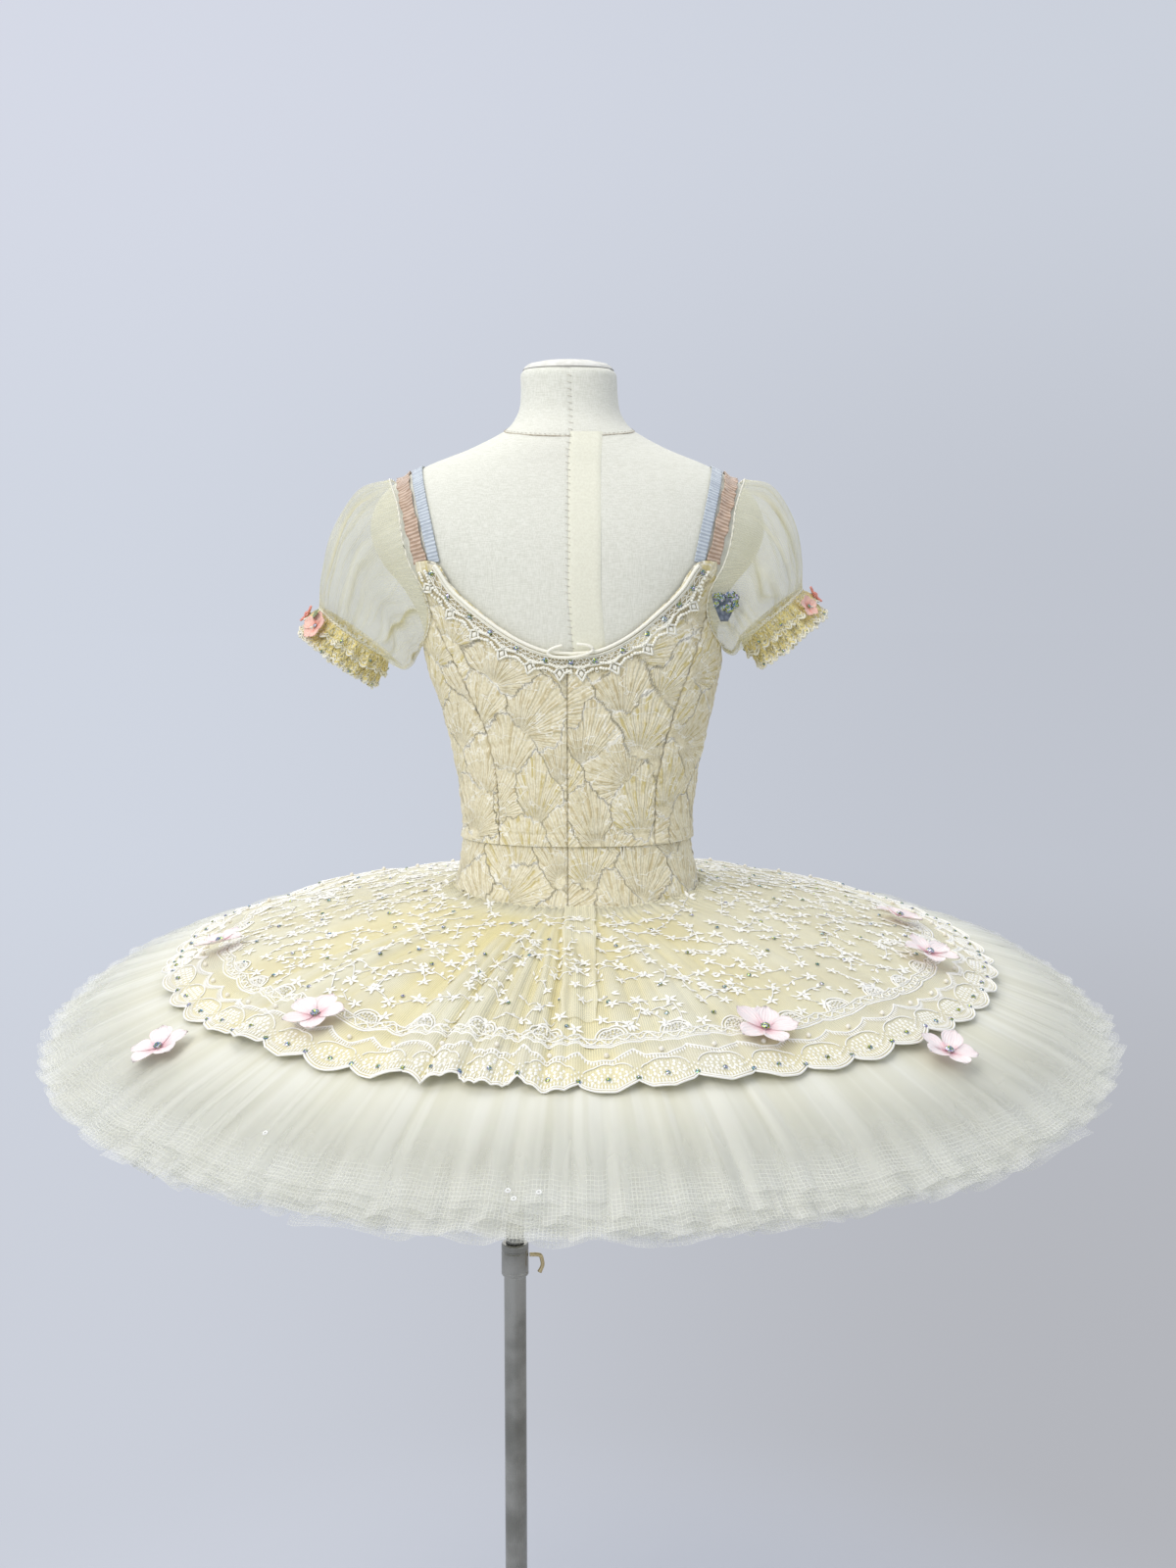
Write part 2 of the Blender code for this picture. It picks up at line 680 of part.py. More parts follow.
def make_back_trim():
    cord_out = LACE_OUT + CORD_RADIUS
    cord = [neckline_point(s, CORD_DROP, cord_out) for s in steps(CORD_SPAN, -CORD_SPAN, 25)]
    tube("neck_cord", cord, CORD_RADIUS, 6, WHITE, 0.6)
    make_neck_lace()

    out = LACE_OUT + 2 * CORD_RADIUS + LOOP_RADIUS + 2 * GAP
    loop = []
    for t in steps(0.06, 0.94, 14):
        turn = 2 * math.pi * t
        x = CLOSURE_X - lean(LOOP_Z) + LOOP_HALF_WIDTH * math.sin(turn)
        z = LOOP_Z + LOOP_HALF_HEIGHT * math.cos(turn)
        loop.append(body(angle_at(x, z), z, out))
    tube("neck_loop", loop, LOOP_RADIUS, 6, WHITE, 0.6)
    thread = []
    for t in steps(0.0, 1.0, 9):
        x = THREAD_X + THREAD_WIDTH * t
        z = HEM_Z - 1.25 * THREAD_RADIUS - GAP - THREAD_DROP * math.sin(math.pi * t)
        thread.append(body(angle_at(x, z), z, BODICE_OUT + 1.2 * THREAD_RADIUS))
    tube("hem_thread_loop", thread, THREAD_RADIUS, 4, WHITE, 0.6)

    rows = []
    for t in steps(0.0, 1.0, APPLIQUE_ROWS):
        z = APPLIQUE_TOP - APPLIQUE_HEIGHT * t
        half = APPLIQUE_HALF_WIDTH + (APPLIQUE_TIP_HALF_WIDTH - APPLIQUE_HALF_WIDTH) * t
        middle = angle_at(APPLIQUE_X, z)
        step = half / reach(middle, z)
        rows.append([body(middle - step * w, z, GAP) for w in (-1, 0, 1)])
    wall("jewelled_applique", rows, CLOTH, SLATE, ring=False)


def make_neck_lace():
    """A band below the neckline with open leaf-shaped points hanging from it."""
    mesh = bpy.data.meshes.new("neck_lace")
    bm = bmesh.new()
    unit = 2 * LACE_SPAN / LACE_UNITS

    def at(u, drop):
        return bm.verts.new(neckline_point(LACE_SPAN - unit * u, drop, LACE_OUT))

    side = LACE_BAND + LACE_ARM
    joints = [(at(k, LACE_EDGE), at(k, LACE_BAND), at(k, side)) for k in range(LACE_UNITS + 1)]
    for k in range(LACE_UNITS):
        top_a, low_a, side_a = joints[k]
        top_b, low_b, side_b = joints[k + 1]
        p, q, r = at(k + 0.17, LACE_BAND), at(k + 0.83, LACE_BAND), at(k + 0.5, LACE_HOLE_TIP)
        top_mid, end = at(k + 0.5, LACE_EDGE), at(k + 0.5, LACE_TIP)
        for face in (
            (top_a, low_a, p, top_mid),
            (top_mid, p, q),
            (top_mid, q, low_b, top_b),
            (low_a, side_a, r, p),
            (side_a, end, r),
            (q, r, side_b, low_b),
            (r, end, side_b),
        ):
            bm.faces.new(face)
    bmesh.ops.recalc_face_normals(bm, faces=bm.faces)
    if sum(f.normal.y for f in bm.faces) < 0:
        bmesh.ops.reverse_faces(bm, faces=bm.faces)
    bm.to_mesh(mesh)
    bm.free()
    thicken(add("neck_lace", mesh, IVORY, 0.7), CLOTH)


# ---------------------------------------------------------------- sleeves and cuffs
def armhole(turn, out):
    """A point round the armhole on the wearer's left, turn 0 at the bottom."""
    squared = 2 / ARMHOLE_ROUNDNESS
    y = ARMHOLE_HALF_DEPTH * math.copysign(abs(math.sin(turn)) ** squared, math.sin(turn))
    z = ARMHOLE_MID_Z - ARMHOLE_HALF_HEIGHT * math.copysign(abs(math.cos(turn)) ** squared, math.cos(turn))
    depth = blend(BODY, z, 3 if y > 0 else 2)
    share = min(abs(y) / depth, 1.0)
    x = blend(BODY, z, 1) * (1 - share**ROUNDNESS) ** (1 / ROUNDNESS)
    p = seated((lean(z) + x, y, z), out)
    return Vector((p.x - lean(z), p.y, p.z))


def mirrored(p, sign):
    """A point of the left arm, placed on either side of the body's middle at its height."""
    return Vector((lean(p.z) + sign * p.x, p.y, p.z))


def make_arm(side, sign, cuff_out, cuff_up):
    """A puffed sleeve from the armhole down to its cuff, the cuff and the flowers on it."""
    around = [2 * math.pi * i / SLEEVE_SIDES for i in range(SLEEVE_SIDES)]
    rows = [[armhole(a, SLEEVE_OUT) for a in around]]
    for k, (top_x, top_z, bottom_x, bottom_z, depth) in enumerate(SLEEVE):
        share = (k + 1) / len(SLEEVE)
        shift = Vector((cuff_out * share, 0.0, cuff_up * share))
        top, bottom = Vector((top_x, 0, top_z)), Vector((bottom_x, 0, bottom_z))
        swell = GATHER_SWELL * math.sin(math.pi * share * 0.9)
        ring = []
        for a in around:
            spread = 1 + swell * math.cos(SLEEVE_GATHERS * a)
            p = (top + bottom) / 2 + (bottom - top) / 2 * math.cos(a) * spread
            p.y = depth * math.sin(a) * spread
            ring.append(p + shift)
        rows.append(ring)
    rows = [[mirrored(p, sign) for p in row] for row in rows]
    if sign > 0:
        rows = [list(reversed(row)) for row in rows]
    sleeve = wall(f"sleeve_{side}", rows, CLOTH, IVORY)

    top_x, top_z, bottom_x, bottom_z, _ = SLEEVE[-1]
    upward = Vector((top_x - bottom_x, 0.0, top_z - bottom_z)).normalized()
    arm = Vector((upward.z, 0.0, -upward.x))
    middle = Vector(((top_x + bottom_x) / 2 + cuff_out, 0.0, (top_z + bottom_z) / 2 + cuff_up))
    around = [2 * math.pi * i / CUFF_SIDES for i in range(CUFF_SIDES)]
    rows = []
    for along, radius, ruffle in CUFF:
        ring = []
        for a in around:
            r = radius + ruffle * math.cos(CUFF_WAVES * a)
            p = middle + arm * along + upward * (r * math.cos(a))
            p.y = r * math.sin(a)
            ring.append(mirrored(p, sign))
        rows.append(ring if sign < 0 else list(reversed(ring)))
    cuff = wall(f"cuff_{side}", rows, CLOTH, GOLD)
    settle(cuff, Vector((-sign * arm.x, 0.0, -arm.z)), [sleeve])

    lift = CUFF[2][1] + CUFF[2][2] + CLOTH + CUFF_TRIM_LIFT
    for name, place, along, radius, colour in CUFF_TRIMS:
        a = math.radians(place)
        outward = upward * math.cos(a)
        outward.y = math.sin(a)
        p = middle + arm * along + outward * lift
        facing = Vector((sign * outward.x, outward.y, outward.z))
        cup = radius * CUFF_FLOWER_CUP
        trim = make_flower(f"{name}_{side}", mirrored(p, sign), facing, radius, cup, 0, colour)
        settle(trim, -facing, [cuff])


def make_flower(name, place, facing, radius, cup, turn, colour):
    """Five petals in one shell, cupped, facing along a direction."""
    mesh = bpy.data.meshes.new(name)
    bm = bmesh.new()
    heart = bm.verts.new((0, 0, 0))
    outline = []
    for petal in range(PETALS):
        for share, far in PETAL:
            a = 2 * math.pi * (petal + share) / PETALS
            outline.append(bm.verts.new((radius * far * math.cos(a), radius * far * math.sin(a), cup * far**2)))
    for p, q in zip(outline, outline[1:] + outline[:1]):
        bm.faces.new((heart, p, q))
    bm.to_mesh(mesh)
    bm.free()
    flower = thicken(add(name, mesh, colour, 0.6), CLOTH)
    flower.rotation_euler = (
        facing.to_track_quat("Z", "Y").to_matrix() @ Matrix.Rotation(math.radians(turn), 3, "Z")
    ).to_euler()
    flower.location = place
    return flower


# ---------------------------------------------------------------- skirt
def waist_reach(angle, z, out):
    """The seam's distance from the skirt's own axis, which the form's lean shifts."""
    p = body(angle, z, out)
    for _ in range(6):
        angle_now = math.atan2(p.y, p.x)
        p = body(math.atan2(p.y, p.x - lean(z)) + (angle - angle_now), z, out)
    return math.hypot(p.x, p.y)


def skirt_share(r, angle):
    """0 at the seam and 1 at the rim."""
    start = waist_reach(angle, seam_z(angle), SEAM_OUT)
    return max(0.0, (r - start) / (RIM_RADIUS - start))


def rim_z(angle):
    return RIM_Z - RIM_TILT * math.sin(angle) - RIM_SAG * math.cos(2 * angle)


def plate_z(r, angle, under_seam=0.0, under_rim=0.0):
    """Height of the skirt's smooth plate; it falls faster towards the rim."""
    share = skirt_share(r, angle)
    start, end = seam_z(angle) - under_seam, rim_z(angle) - under_rim
    return start + (end - start) * share ** (FALL_POWER + FALL_POWER_BACK * math.sin(angle))


def pleat_height(r, angle):
    return PLEAT_IN + (PLEAT_RIM - PLEAT_IN) * skirt_share(r, angle) ** 1.5


def polar(r, angle, z):
    return Vector((r * math.cos(angle), r * math.sin(angle), z))


def make_tulle():
    rng = random.Random(7)
    for name, rim, under_seam, under_rim, pleats, sides, between in TULLE:
        crest = [rng.uniform(0.5, 1.0) for _ in range(pleats)]
        count = pleats * sides
        rows = []
        for radius in (None, *between, rim):
            row = []
            for i in range(count):
                a = 2 * math.pi * i / count
                wave = math.cos(pleats * a)
                z = seam_z(a) - under_seam
                r = waist_reach(a, z, SEAM_OUT) if radius is None else radius
                if radius == rim:
                    r += PLEAT_TIP * wave * crest[i // sides]
                z = plate_z(min(r, rim), a, under_seam, under_rim)
                row.append(polar(r, a, z + pleat_height(r, a) * wave))
            rows.append(list(reversed(row)))
        wall(name, rows, NET, IVORY)


def overlay_fold(r, angle):
    """Height of the overlays' own soft folds over the tulle's crests."""
    share = min(skirt_share(r, angle) * RIM_RADIUS / TULLE_LACE, 1.0)
    strength = 0.675 + 0.325 * math.cos(angle - math.radians(FOLD_DEEPEST))
    height = FOLD_SEAM + (FOLD_RIM - FOLD_SEAM) * share * strength
    return height * (0.5 - 0.5 * math.cos(OVERLAY_FOLDS * angle))


def overlay_z(r, angle, level):
    """Underside of the lower overlay (level 0) or the upper one (level 1)."""
    z = plate_z(r, angle, UNDER_SEAM) + pleat_height(r, angle) + TULLE_CREST
    return z + overlay_fold(r, angle) + level * (1.25 * CLOTH + GAP)


def make_overlays():
    layers = (
        # name, level, rim, scallop depth, radii between, colour
        ("overlay_under", 0, OVERLAY_UNDER_RADIUS, SCALLOP_UNDER, (TULLE_MID,), IVORY),
        ("overlay_top", 1, OVERLAY_TOP_RADIUS, SCALLOP_TOP, (TULLE_MID,), GOLD),
    )
    for name, level, rim, scallop, between, colour in layers:
        rows = []
        for radius in (None, *between, rim):
            row = []
            for i in range(OVERLAY_SIDES):
                a = 2 * math.pi * i / OVERLAY_SIDES
                r = waist_reach(a, seam_z(a) - UNDER_SEAM / 2, SEAM_OUT) if radius is None else radius
                if radius == rim:
                    r += scallop * math.cos(OVERLAY_SCALLOPS * a)
                row.append(polar(r, a, overlay_z(r, a, level)))
            rows.append(list(reversed(row)))
        wall(name, rows, CLOTH, colour)

    rows = []
    start = waist_reach(math.pi / 2, seam_z(math.pi / 2), SEAM_OUT) + PLACKET_START
    for r in steps(start, PLACKET_END, 4):
        row = []
        for k in range(5):
            x = PLACKET_HALF_WIDTH * (k / 2 - 1)
            a = math.atan2(r, x)
            row.append(Vector((x, r, overlay_z(r, a, 2) + PLACKET_LIFT)))
        rows.append(row)
    wall("overlay_placket", rows, CLOTH, GOLD, ring=False)


def make_knickers():
    """A wall over the hips and under the form, open for the legs."""
    around = [-2 * math.pi * i / FORM_SIDES for i in range(FORM_SIDES)]
    low = KNICKERS_LEVELS[-1]
    rows = [[body(a, seam_z(a) - 2 * GAP, GAP) for a in around]]
    rows += [[body(a, z, GAP) for a in around] for z in KNICKERS_LEVELS]
    under = [body(a, FORM_BOTTOM - GAP, GAP) for a in around]
    middle = Vector((lean(FORM_BOTTOM), 0.0, FORM_BOTTOM - GAP))
    rows += [under, [p.lerp(middle, 0.5) for p in under]]
    mesh = lattice("knickers", rows, True)
    bm = bmesh.new()
    bm.from_mesh(mesh)
    hole = [e for e in bm.edges if e.is_boundary and e.verts[0].co.z < low]
    for face in bmesh.ops.holes_fill(bm, edges=hole)["faces"]:
        face.normal_update()
        if face.normal.z > 0:
            face.normal_flip()
    bm.to_mesh(mesh)
    bm.free()
    part = thicken(add("knickers", mesh, IVORY), CLOTH)
    for name, x in (("left", LEG_X), ("right", -LEG_X + 2 * lean(0.8))):
        cut_mesh = bpy.data.meshes.new(f"leg_{name}")
        bm = bmesh.new()
        bmesh.ops.create_cone(
            bm, cap_ends=True, segments=24, radius1=LEG_RADIUS, radius2=LEG_RADIUS, depth=0.12
        )
        bm.to_mesh(cut_mesh)
        bm.free()
        cutter = bpy.data.objects.new(f"leg_{name}", cut_mesh)
        cutters.objects.link(cutter)
        cutter.location = (x, 0.0, FORM_BOTTOM - 0.010)
        cutter.rotation_euler.y = math.radians(-LEG_SPLAY if x > 0 else LEG_SPLAY)
        cutter.hide_render = True
        cutter.display_type = "WIRE"
        cut = part.modifiers.new(f"Leg {name}", "BOOLEAN")
        cut.operation = "DIFFERENCE"
        cut.object = cutter


def make_skirt_flowers():
    cloths = [parts.objects[name] for name in ("tulle_top", "overlay_under", "overlay_top")]
    for name, r, azimuth, turn in SKIRT_FLOWERS:
        a = math.radians(azimuth)
        middle = polar(r, a, 0.0)
        tops = []
        for ring in (0.0, 0.5, 0.8, 1.0):
            for k in range(12):
                t = math.pi * k / 6
                spot = middle + Vector((math.cos(t), math.sin(t), 0)) * (ring * FLOWER_RADIUS)
                tops.append((spot, cloth_top(spot) - FLOWER_CUP * ring**2))
        tilt_x = sum((s.x - middle.x) * z for s, z in tops) / sum((s.x - middle.x) ** 2 for s, _ in tops)
        tilt_y = sum((s.y - middle.y) * z for s, z in tops) / sum((s.y - middle.y) ** 2 for s, _ in tops)
        height = max(z - tilt_x * (s.x - middle.x) - tilt_y * (s.y - middle.y) for s, z in tops)
        middle.z = height + FLOWER_LIFT
        facing = Vector((-tilt_x, -tilt_y, 1.0)).normalized()
        flower = make_flower(f"skirt_flower_{name}", middle, facing, FLOWER_RADIUS, FLOWER_CUP, turn, PINK)
        settle(flower, Vector((0, 0, -1)), cloths)


def cloth_top(spot):
    """Height of the top of whatever cloth lies at a place on the skirt."""
    r, a = math.hypot(spot.x, spot.y), math.atan2(spot.y, spot.x)
    if r < OVERLAY_TOP_RADIUS + SCALLOP_TOP:
        return overlay_z(r, a, 1) + 1.25 * CLOTH
    if r < OVERLAY_UNDER_RADIUS + SCALLOP_UNDER:
        return overlay_z(r, a, 0) + 1.25 * CLOTH
    return plate_z(r, a, UNDER_SEAM) + pleat_height(r, a) * math.cos(TULLE[0][4] * a) + 1.35 * NET


make_form()
make_stand()
make_bodice()
make_basque()
make_straps()
make_back_trim()
for arm in ARMS:
    make_arm(*arm)
make_tulle()
make_overlays()
make_knickers()
make_skirt_flowers()
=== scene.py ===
"""The looks of the tutu on its dress form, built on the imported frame. Metres; the back faces +Y."""

import math

import bpy
import numpy as np
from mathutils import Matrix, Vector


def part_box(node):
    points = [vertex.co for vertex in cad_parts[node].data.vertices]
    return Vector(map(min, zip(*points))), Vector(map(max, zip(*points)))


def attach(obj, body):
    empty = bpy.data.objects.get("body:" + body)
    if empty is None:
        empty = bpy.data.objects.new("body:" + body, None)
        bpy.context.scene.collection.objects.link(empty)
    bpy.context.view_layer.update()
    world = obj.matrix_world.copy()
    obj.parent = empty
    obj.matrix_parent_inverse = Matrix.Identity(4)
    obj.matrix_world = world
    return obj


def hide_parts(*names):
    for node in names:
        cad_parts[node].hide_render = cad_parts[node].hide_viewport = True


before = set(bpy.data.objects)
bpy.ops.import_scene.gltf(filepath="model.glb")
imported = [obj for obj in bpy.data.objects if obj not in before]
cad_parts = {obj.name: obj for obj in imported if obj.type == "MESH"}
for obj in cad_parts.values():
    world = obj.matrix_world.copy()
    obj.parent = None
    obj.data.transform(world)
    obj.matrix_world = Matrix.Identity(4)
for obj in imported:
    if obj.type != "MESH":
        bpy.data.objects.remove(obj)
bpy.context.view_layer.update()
rng = np.random.default_rng(11)
TAU = 2 * math.pi

# ---------------------------------------------------------------- the garment's driving sizes
BODY = np.array(
    (
        # z,     half,   front,  back,   lean
        (0.800, 0.128, 0.070, 0.082, 0.003),
        (0.808, 0.143, 0.080, 0.094, 0.003),
        (0.830, 0.153, 0.090, 0.104, 0.003),
        (0.870, 0.156, 0.095, 0.112, 0.003),
        (0.910, 0.147, 0.093, 0.108, 0.003),
        (0.945, 0.133, 0.088, 0.099, 0.003),
        (0.980, 0.1175, 0.083, 0.089, 0.003),
        (1.030, 0.1085, 0.080, 0.082, 0.003),
        (1.080, 0.1105, 0.083, 0.083, 0.003),
        (1.140, 0.1235, 0.094, 0.088, 0.003),
        (1.190, 0.136, 0.108, 0.093, 0.006),
        (1.235, 0.143, 0.110, 0.096, 0.010),
        (1.262, 0.155, 0.102, 0.096, 0.012),
        (1.290, 0.177, 0.091, 0.094, 0.012),
        (1.315, 0.187, 0.081, 0.090, 0.012),
        (1.338, 0.184, 0.072, 0.084, 0.012),
        (1.360, 0.168, 0.065, 0.077, 0.012),
        (1.380, 0.132, 0.060, 0.070, 0.012),
        (1.395, 0.094, 0.057, 0.065, 0.011),
        (1.412, 0.0620, 0.0530, 0.0570, 0.010),
        (1.424, 0.0515, 0.0490, 0.0505, 0.010),
        (1.438, 0.0470, 0.0470, 0.0470, 0.010),
        (1.468, 0.0460, 0.0465, 0.0455, 0.011),
    )
)
POWER = 2.2
FORM_OUT = -0.0008
FORM_BOTTOM, NECK_TOP = 0.800, 1.468
CLOSURE_X = 0.011
BODICE_OUT, BASQUE_OUT = 0.0034, 0.0012
HEM_Z, BASQUE_TOP, BAND = 1.028, 1.036, 0.011
# the seams: height, distance from the middle
BACK_SEAM = (
    (1.020, 0.0700), (1.090, 0.0725), (1.135, 0.0830),
    (1.160, 0.0920), (1.250, 0.1285), (1.290, 0.1375),
)
FRONT_SEAM = ((1.020, 0.0520), (1.100, 0.0600), (1.170, 0.0780), (1.250, 0.1310), (1.290, 0.1385))
# the necklines: distance from the middle, height
BACK_NECK = (
    (0.000, 1.2070), (0.024, 1.2100), (0.050, 1.2225), (0.075, 1.2415),
    (0.100, 1.2650), (0.116, 1.2880), (0.140, 1.2890),
)
FRONT_NECK = (
    (0.000, 1.2300), (0.030, 1.2380), (0.060, 1.2480),
    (0.085, 1.2620), (0.104, 1.2870), (0.142, 1.2890),
)
ARMHOLE_BOTTOM, ARMHOLE_TIP = 1.2115, 1.250


# ---------------------------------------------------------------- surfaces
def blend(table, at, column):
    """A smooth value between a table's rows, whose first column rises."""
    table = np.asarray(table, float)
    x, y = table[:, 0], table[:, column]
    at = np.clip(np.asarray(at, float), x[0], x[-1])
    i = np.clip(np.searchsorted(x, at) - 1, 0, len(x) - 2)
    before, after = np.maximum(i - 1, 0), np.minimum(i + 2, len(x) - 1)
    span = x[i + 1] - x[i]
    t = (at - x[i]) / span
    start = (y[i + 1] - y[before]) / (x[i + 1] - x[before]) * span
    end = (y[after] - y[i]) / (x[after] - x[i]) * span
    low, high = 2 * t**3 - 3 * t**2 + 1, 3 * t**2 - 2 * t**3
    return y[i] * low + start * (t**3 - 2 * t**2 + t) + y[i + 1] * high + end * (t**3 - t**2)


def lean(z):
    """How far the body's axis stands from x = 0 at a height."""
    return blend(BODY, z, 4)


def reach(angle, z, out=0.0):
    """Distance from the body's axis to its surface, out metres further out."""
    depth = np.where(np.sin(angle) > 0, blend(BODY, z, 3), blend(BODY, z, 2))
    across = np.abs(np.cos(angle)) / (blend(BODY, z, 1) + out)
    along = np.abs(np.sin(angle)) / (depth + out)
    return (across**POWER + along**POWER) ** (-1 / POWER)


def circle(count):
    """Even angles once round."""
    return np.arange(count) / count * TAU


def xyz(x, y, z):
    return np.stack(np.broadcast_arrays(x, y, z), -1)


def polar(r, angle, z):
    return xyz(r * np.cos(angle), r * np.sin(angle), z)


def link(thing):
    bpy.context.scene.collection.objects.link(thing)


def body(angle, z, out=0.0):
    """Points of the body's surface, out metres further out."""
    p = polar(reach(angle, z, out), angle, z)
    p[..., 0] += lean(z)
    return p


def angle_at(x, z, back=True):
    """Direction of the surface point that lies x from the middle."""
    share = np.minimum(np.abs(x) / blend(BODY, z, 1), 1.0)
    y = blend(BODY, z, 3 if back else 2) * (1 - share**POWER) ** (1 / POWER)
    return np.arctan2(y if back else -y, x)


def unit(v):
    return v / np.maximum(np.linalg.norm(v, axis=-1, keepdims=True), 1e-12)


def normals(grid, ring=False):
    """Unit normals of a lattice of points, by its neighbours."""
    if ring:
        across = np.roll(grid, -1, 1) - np.roll(grid, 1, 1)
    else:
        across = np.gradient(grid, axis=1)
    return unit(np.cross(across, np.gradient(grid, axis=0)))


def smooth(x, low=0.0, high=1.0):
    t = np.clip((x - low) / (high - low), 0, 1)
    return t * t * (3 - 2 * t)


def bell(x, width):
    """A soft bump, 1 in its middle."""
    return np.exp(-((x / width) ** 2))


def waves(x, seed, octaves=4):
    """A soft random line through x, about -1 to 1, the same for the same seed."""
    r = np.random.default_rng(seed)
    total = 0.0
    for k in range(octaves):
        pace = x * (1.0 + k * 0.83)
        total = total + np.sin(pace + r.uniform(0, TAU)) * r.uniform(0.5, 1.0) / (1 + 0.4 * k)
    return total / 1.9


# ---------------------------------------------------------------- meshes
class Batch:
    """Gathers points, faces and values for one mesh."""

    def __init__(self):
        self.points, self.faces, self.values, self.count = [], [], {}, 0

    def add(self, points, faces, **values):
        points = np.asarray(points, float).reshape(-1, 3)
        self.points.append(points)
        self.faces.extend((np.asarray(faces) + self.count).tolist())
        for name, value in values.items():
            value = np.asarray(value, float)
            triples = value.ndim and value.shape[-1] == 3 and value.size != len(points)
            shape = (len(points), 3) if triples else (len(points),)
            value = np.broadcast_to(value, shape) if value.size in (1, 3) else value.reshape(shape)
            self.values.setdefault(name, []).append((self.count, value))
        self.count += len(points)

    def grid(self, points, ring=False, flip=False, **values):
        rows, columns = points.shape[:2]
        i = np.arange(rows - 1)[:, None]
        j = np.arange(columns if ring else columns - 1)[None, :]
        k = (j + 1) % columns
        corners = [i * columns + j, (i + 1) * columns + j, (i + 1) * columns + k, i * columns + k]
        if flip:
            corners.reverse()
        self.add(points, np.stack(corners, -1).reshape(-1, 4), **values)

    def tube(self, path, radius, sides, closed=False):
        """A round cord along a path; radius may vary along it."""
        path = np.asarray(path, float)
        ahead = np.roll(path, -1, 0) - np.roll(path, 1, 0) if closed else np.gradient(path, axis=0)
        ahead = unit(ahead)
        side = np.cross(ahead, np.array([0.31, 0.17, 0.93]))
        short = np.linalg.norm(side, axis=1, keepdims=True) < 0.05
        side = unit(np.where(short, np.cross(ahead, [1.0, 0, 0]), side))
        up = np.cross(side, ahead)
        turn = circle(sides)
        radius = np.broadcast_to(np.asarray(radius, float), (len(path),))[:, None, None]
        ring = np.cos(turn)[None, :, None] * side[:, None] + np.sin(turn)[None, :, None] * up[:, None]
        points = path[:, None] + ring * radius
        if closed:
            points = np.concatenate([points, points[:1]])
        else:
            first, last = (np.repeat(end[:, None], sides, 1) for end in (path[:1], path[-1:]))
            points = np.concatenate([first, points, last])
        self.grid(points, ring=True)

    def loop(self, path, radius, sides):
        self.tube(path, radius, sides, closed=True)

    def place(self, template, spots, axes, sizes, **values):
        """Copies of a template (points, faces) at spots; axes holds each copy's three directions as rows."""
        points, faces = template
        points, faces = np.asarray(points, float), np.asarray(faces)
        spots, axes = np.asarray(spots, float), np.asarray(axes, float)
        sizes = np.broadcast_to(np.asarray(sizes, float), (len(spots), 3))
        moved = spots[:, None] + np.einsum("pk,nk,nkd->npd", points, sizes, axes)
        many = faces[None] + (np.arange(len(spots)) * len(points))[:, None, None]
        spread = {k: np.repeat(np.asarray(v, float), len(points), 0) for k, v in values.items()}
        self.add(moved.reshape(-1, 3), many.reshape(-1, faces.shape[1]), **spread)

    def build(self, name, shade, slot, nodes=(), flat=None, held=None, rests=(), area=None, thick=0.0):
        """Make the piece; flat, held, rests and area, given for a sheet only, are not used."""
        mesh = bpy.data.meshes.new(name)
        mesh.from_pydata(np.concatenate(self.points).tolist(), [], self.faces)
        for key, chunks in self.values.items():
            wide = chunks[0][1].ndim == 2
            full = np.zeros((self.count, 3) if wide else self.count, np.float32)
            for start, chunk in chunks:
                full[start : start + len(chunk)] = chunk
            data = mesh.attributes.new(key, "FLOAT_VECTOR" if wide else "FLOAT", "POINT")
            data.data.foreach_set("vector" if wide else "value", full.ravel())
        mesh.validate()
        mesh.shade_smooth()
        piece = bpy.data.objects.new(name, mesh)
        link(piece)
        mesh.materials.append(shade)
        if thick:
            wall = piece.modifiers.new("Wall", "SOLIDIFY")
            wall.thickness, wall.offset = thick, -1.0
        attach(piece, "root")
        if nodes:
            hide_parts(*nodes)
        return piece


def frames_on(normal, heading=(0.0, 0.0, 1.0)):
    """Three directions for each spot: across, along (near the heading) and out."""
    normal = unit(np.asarray(normal, float))
    heading = np.broadcast_to(np.asarray(heading, float), normal.shape)
    along = unit(heading - normal * (heading * normal).sum(-1, keepdims=True))
    return np.stack([np.cross(along, normal), along, normal], -2)


def turned(axes, angle):
    """The same frames, each turned about its own out direction."""
    c, s = np.cos(angle)[:, None], np.sin(angle)[:, None]
    x, y = axes[:, 0], axes[:, 1]
    return np.stack([x * c + y * s, y * c - x * s, axes[:, 2]], 1)


def hoops(rings, sides):
    """Faces between rings of points."""
    corners = [(i * sides + j, i * sides + (j + 1) % sides) for i in range(rings) for j in range(sides)]
    return [(a, b, b + sides, a + sides) for a, b in corners]


def ball(rings, sides):
    """A bead of radius 1."""
    points = []
    for a in np.linspace(-math.pi / 2, math.pi / 2, rings + 1):
        points += [(math.cos(a) * math.cos(t), math.cos(a) * math.sin(t), math.sin(a)) for t in circle(sides)]
    return points, hoops(rings, sides)


def gem(sides=8):
    """A flat-backed faceted stone of radius 1 with a small table."""
    points = []
    # radius, height and turn of each ring
    rings = ((1.0, 0.0, 0.0), (1.0, 0.12, 0.0), (0.62, 0.55, 0.5), (0.3, 0.68, 0.0), (0.001, 0.68, 0.5))
    for r, z, shift in rings:
        points += [(r * math.cos(t), r * math.sin(t), z) for t in (np.arange(sides) + shift) / sides * TAU]
    return points, hoops(len(rings) - 1, sides)


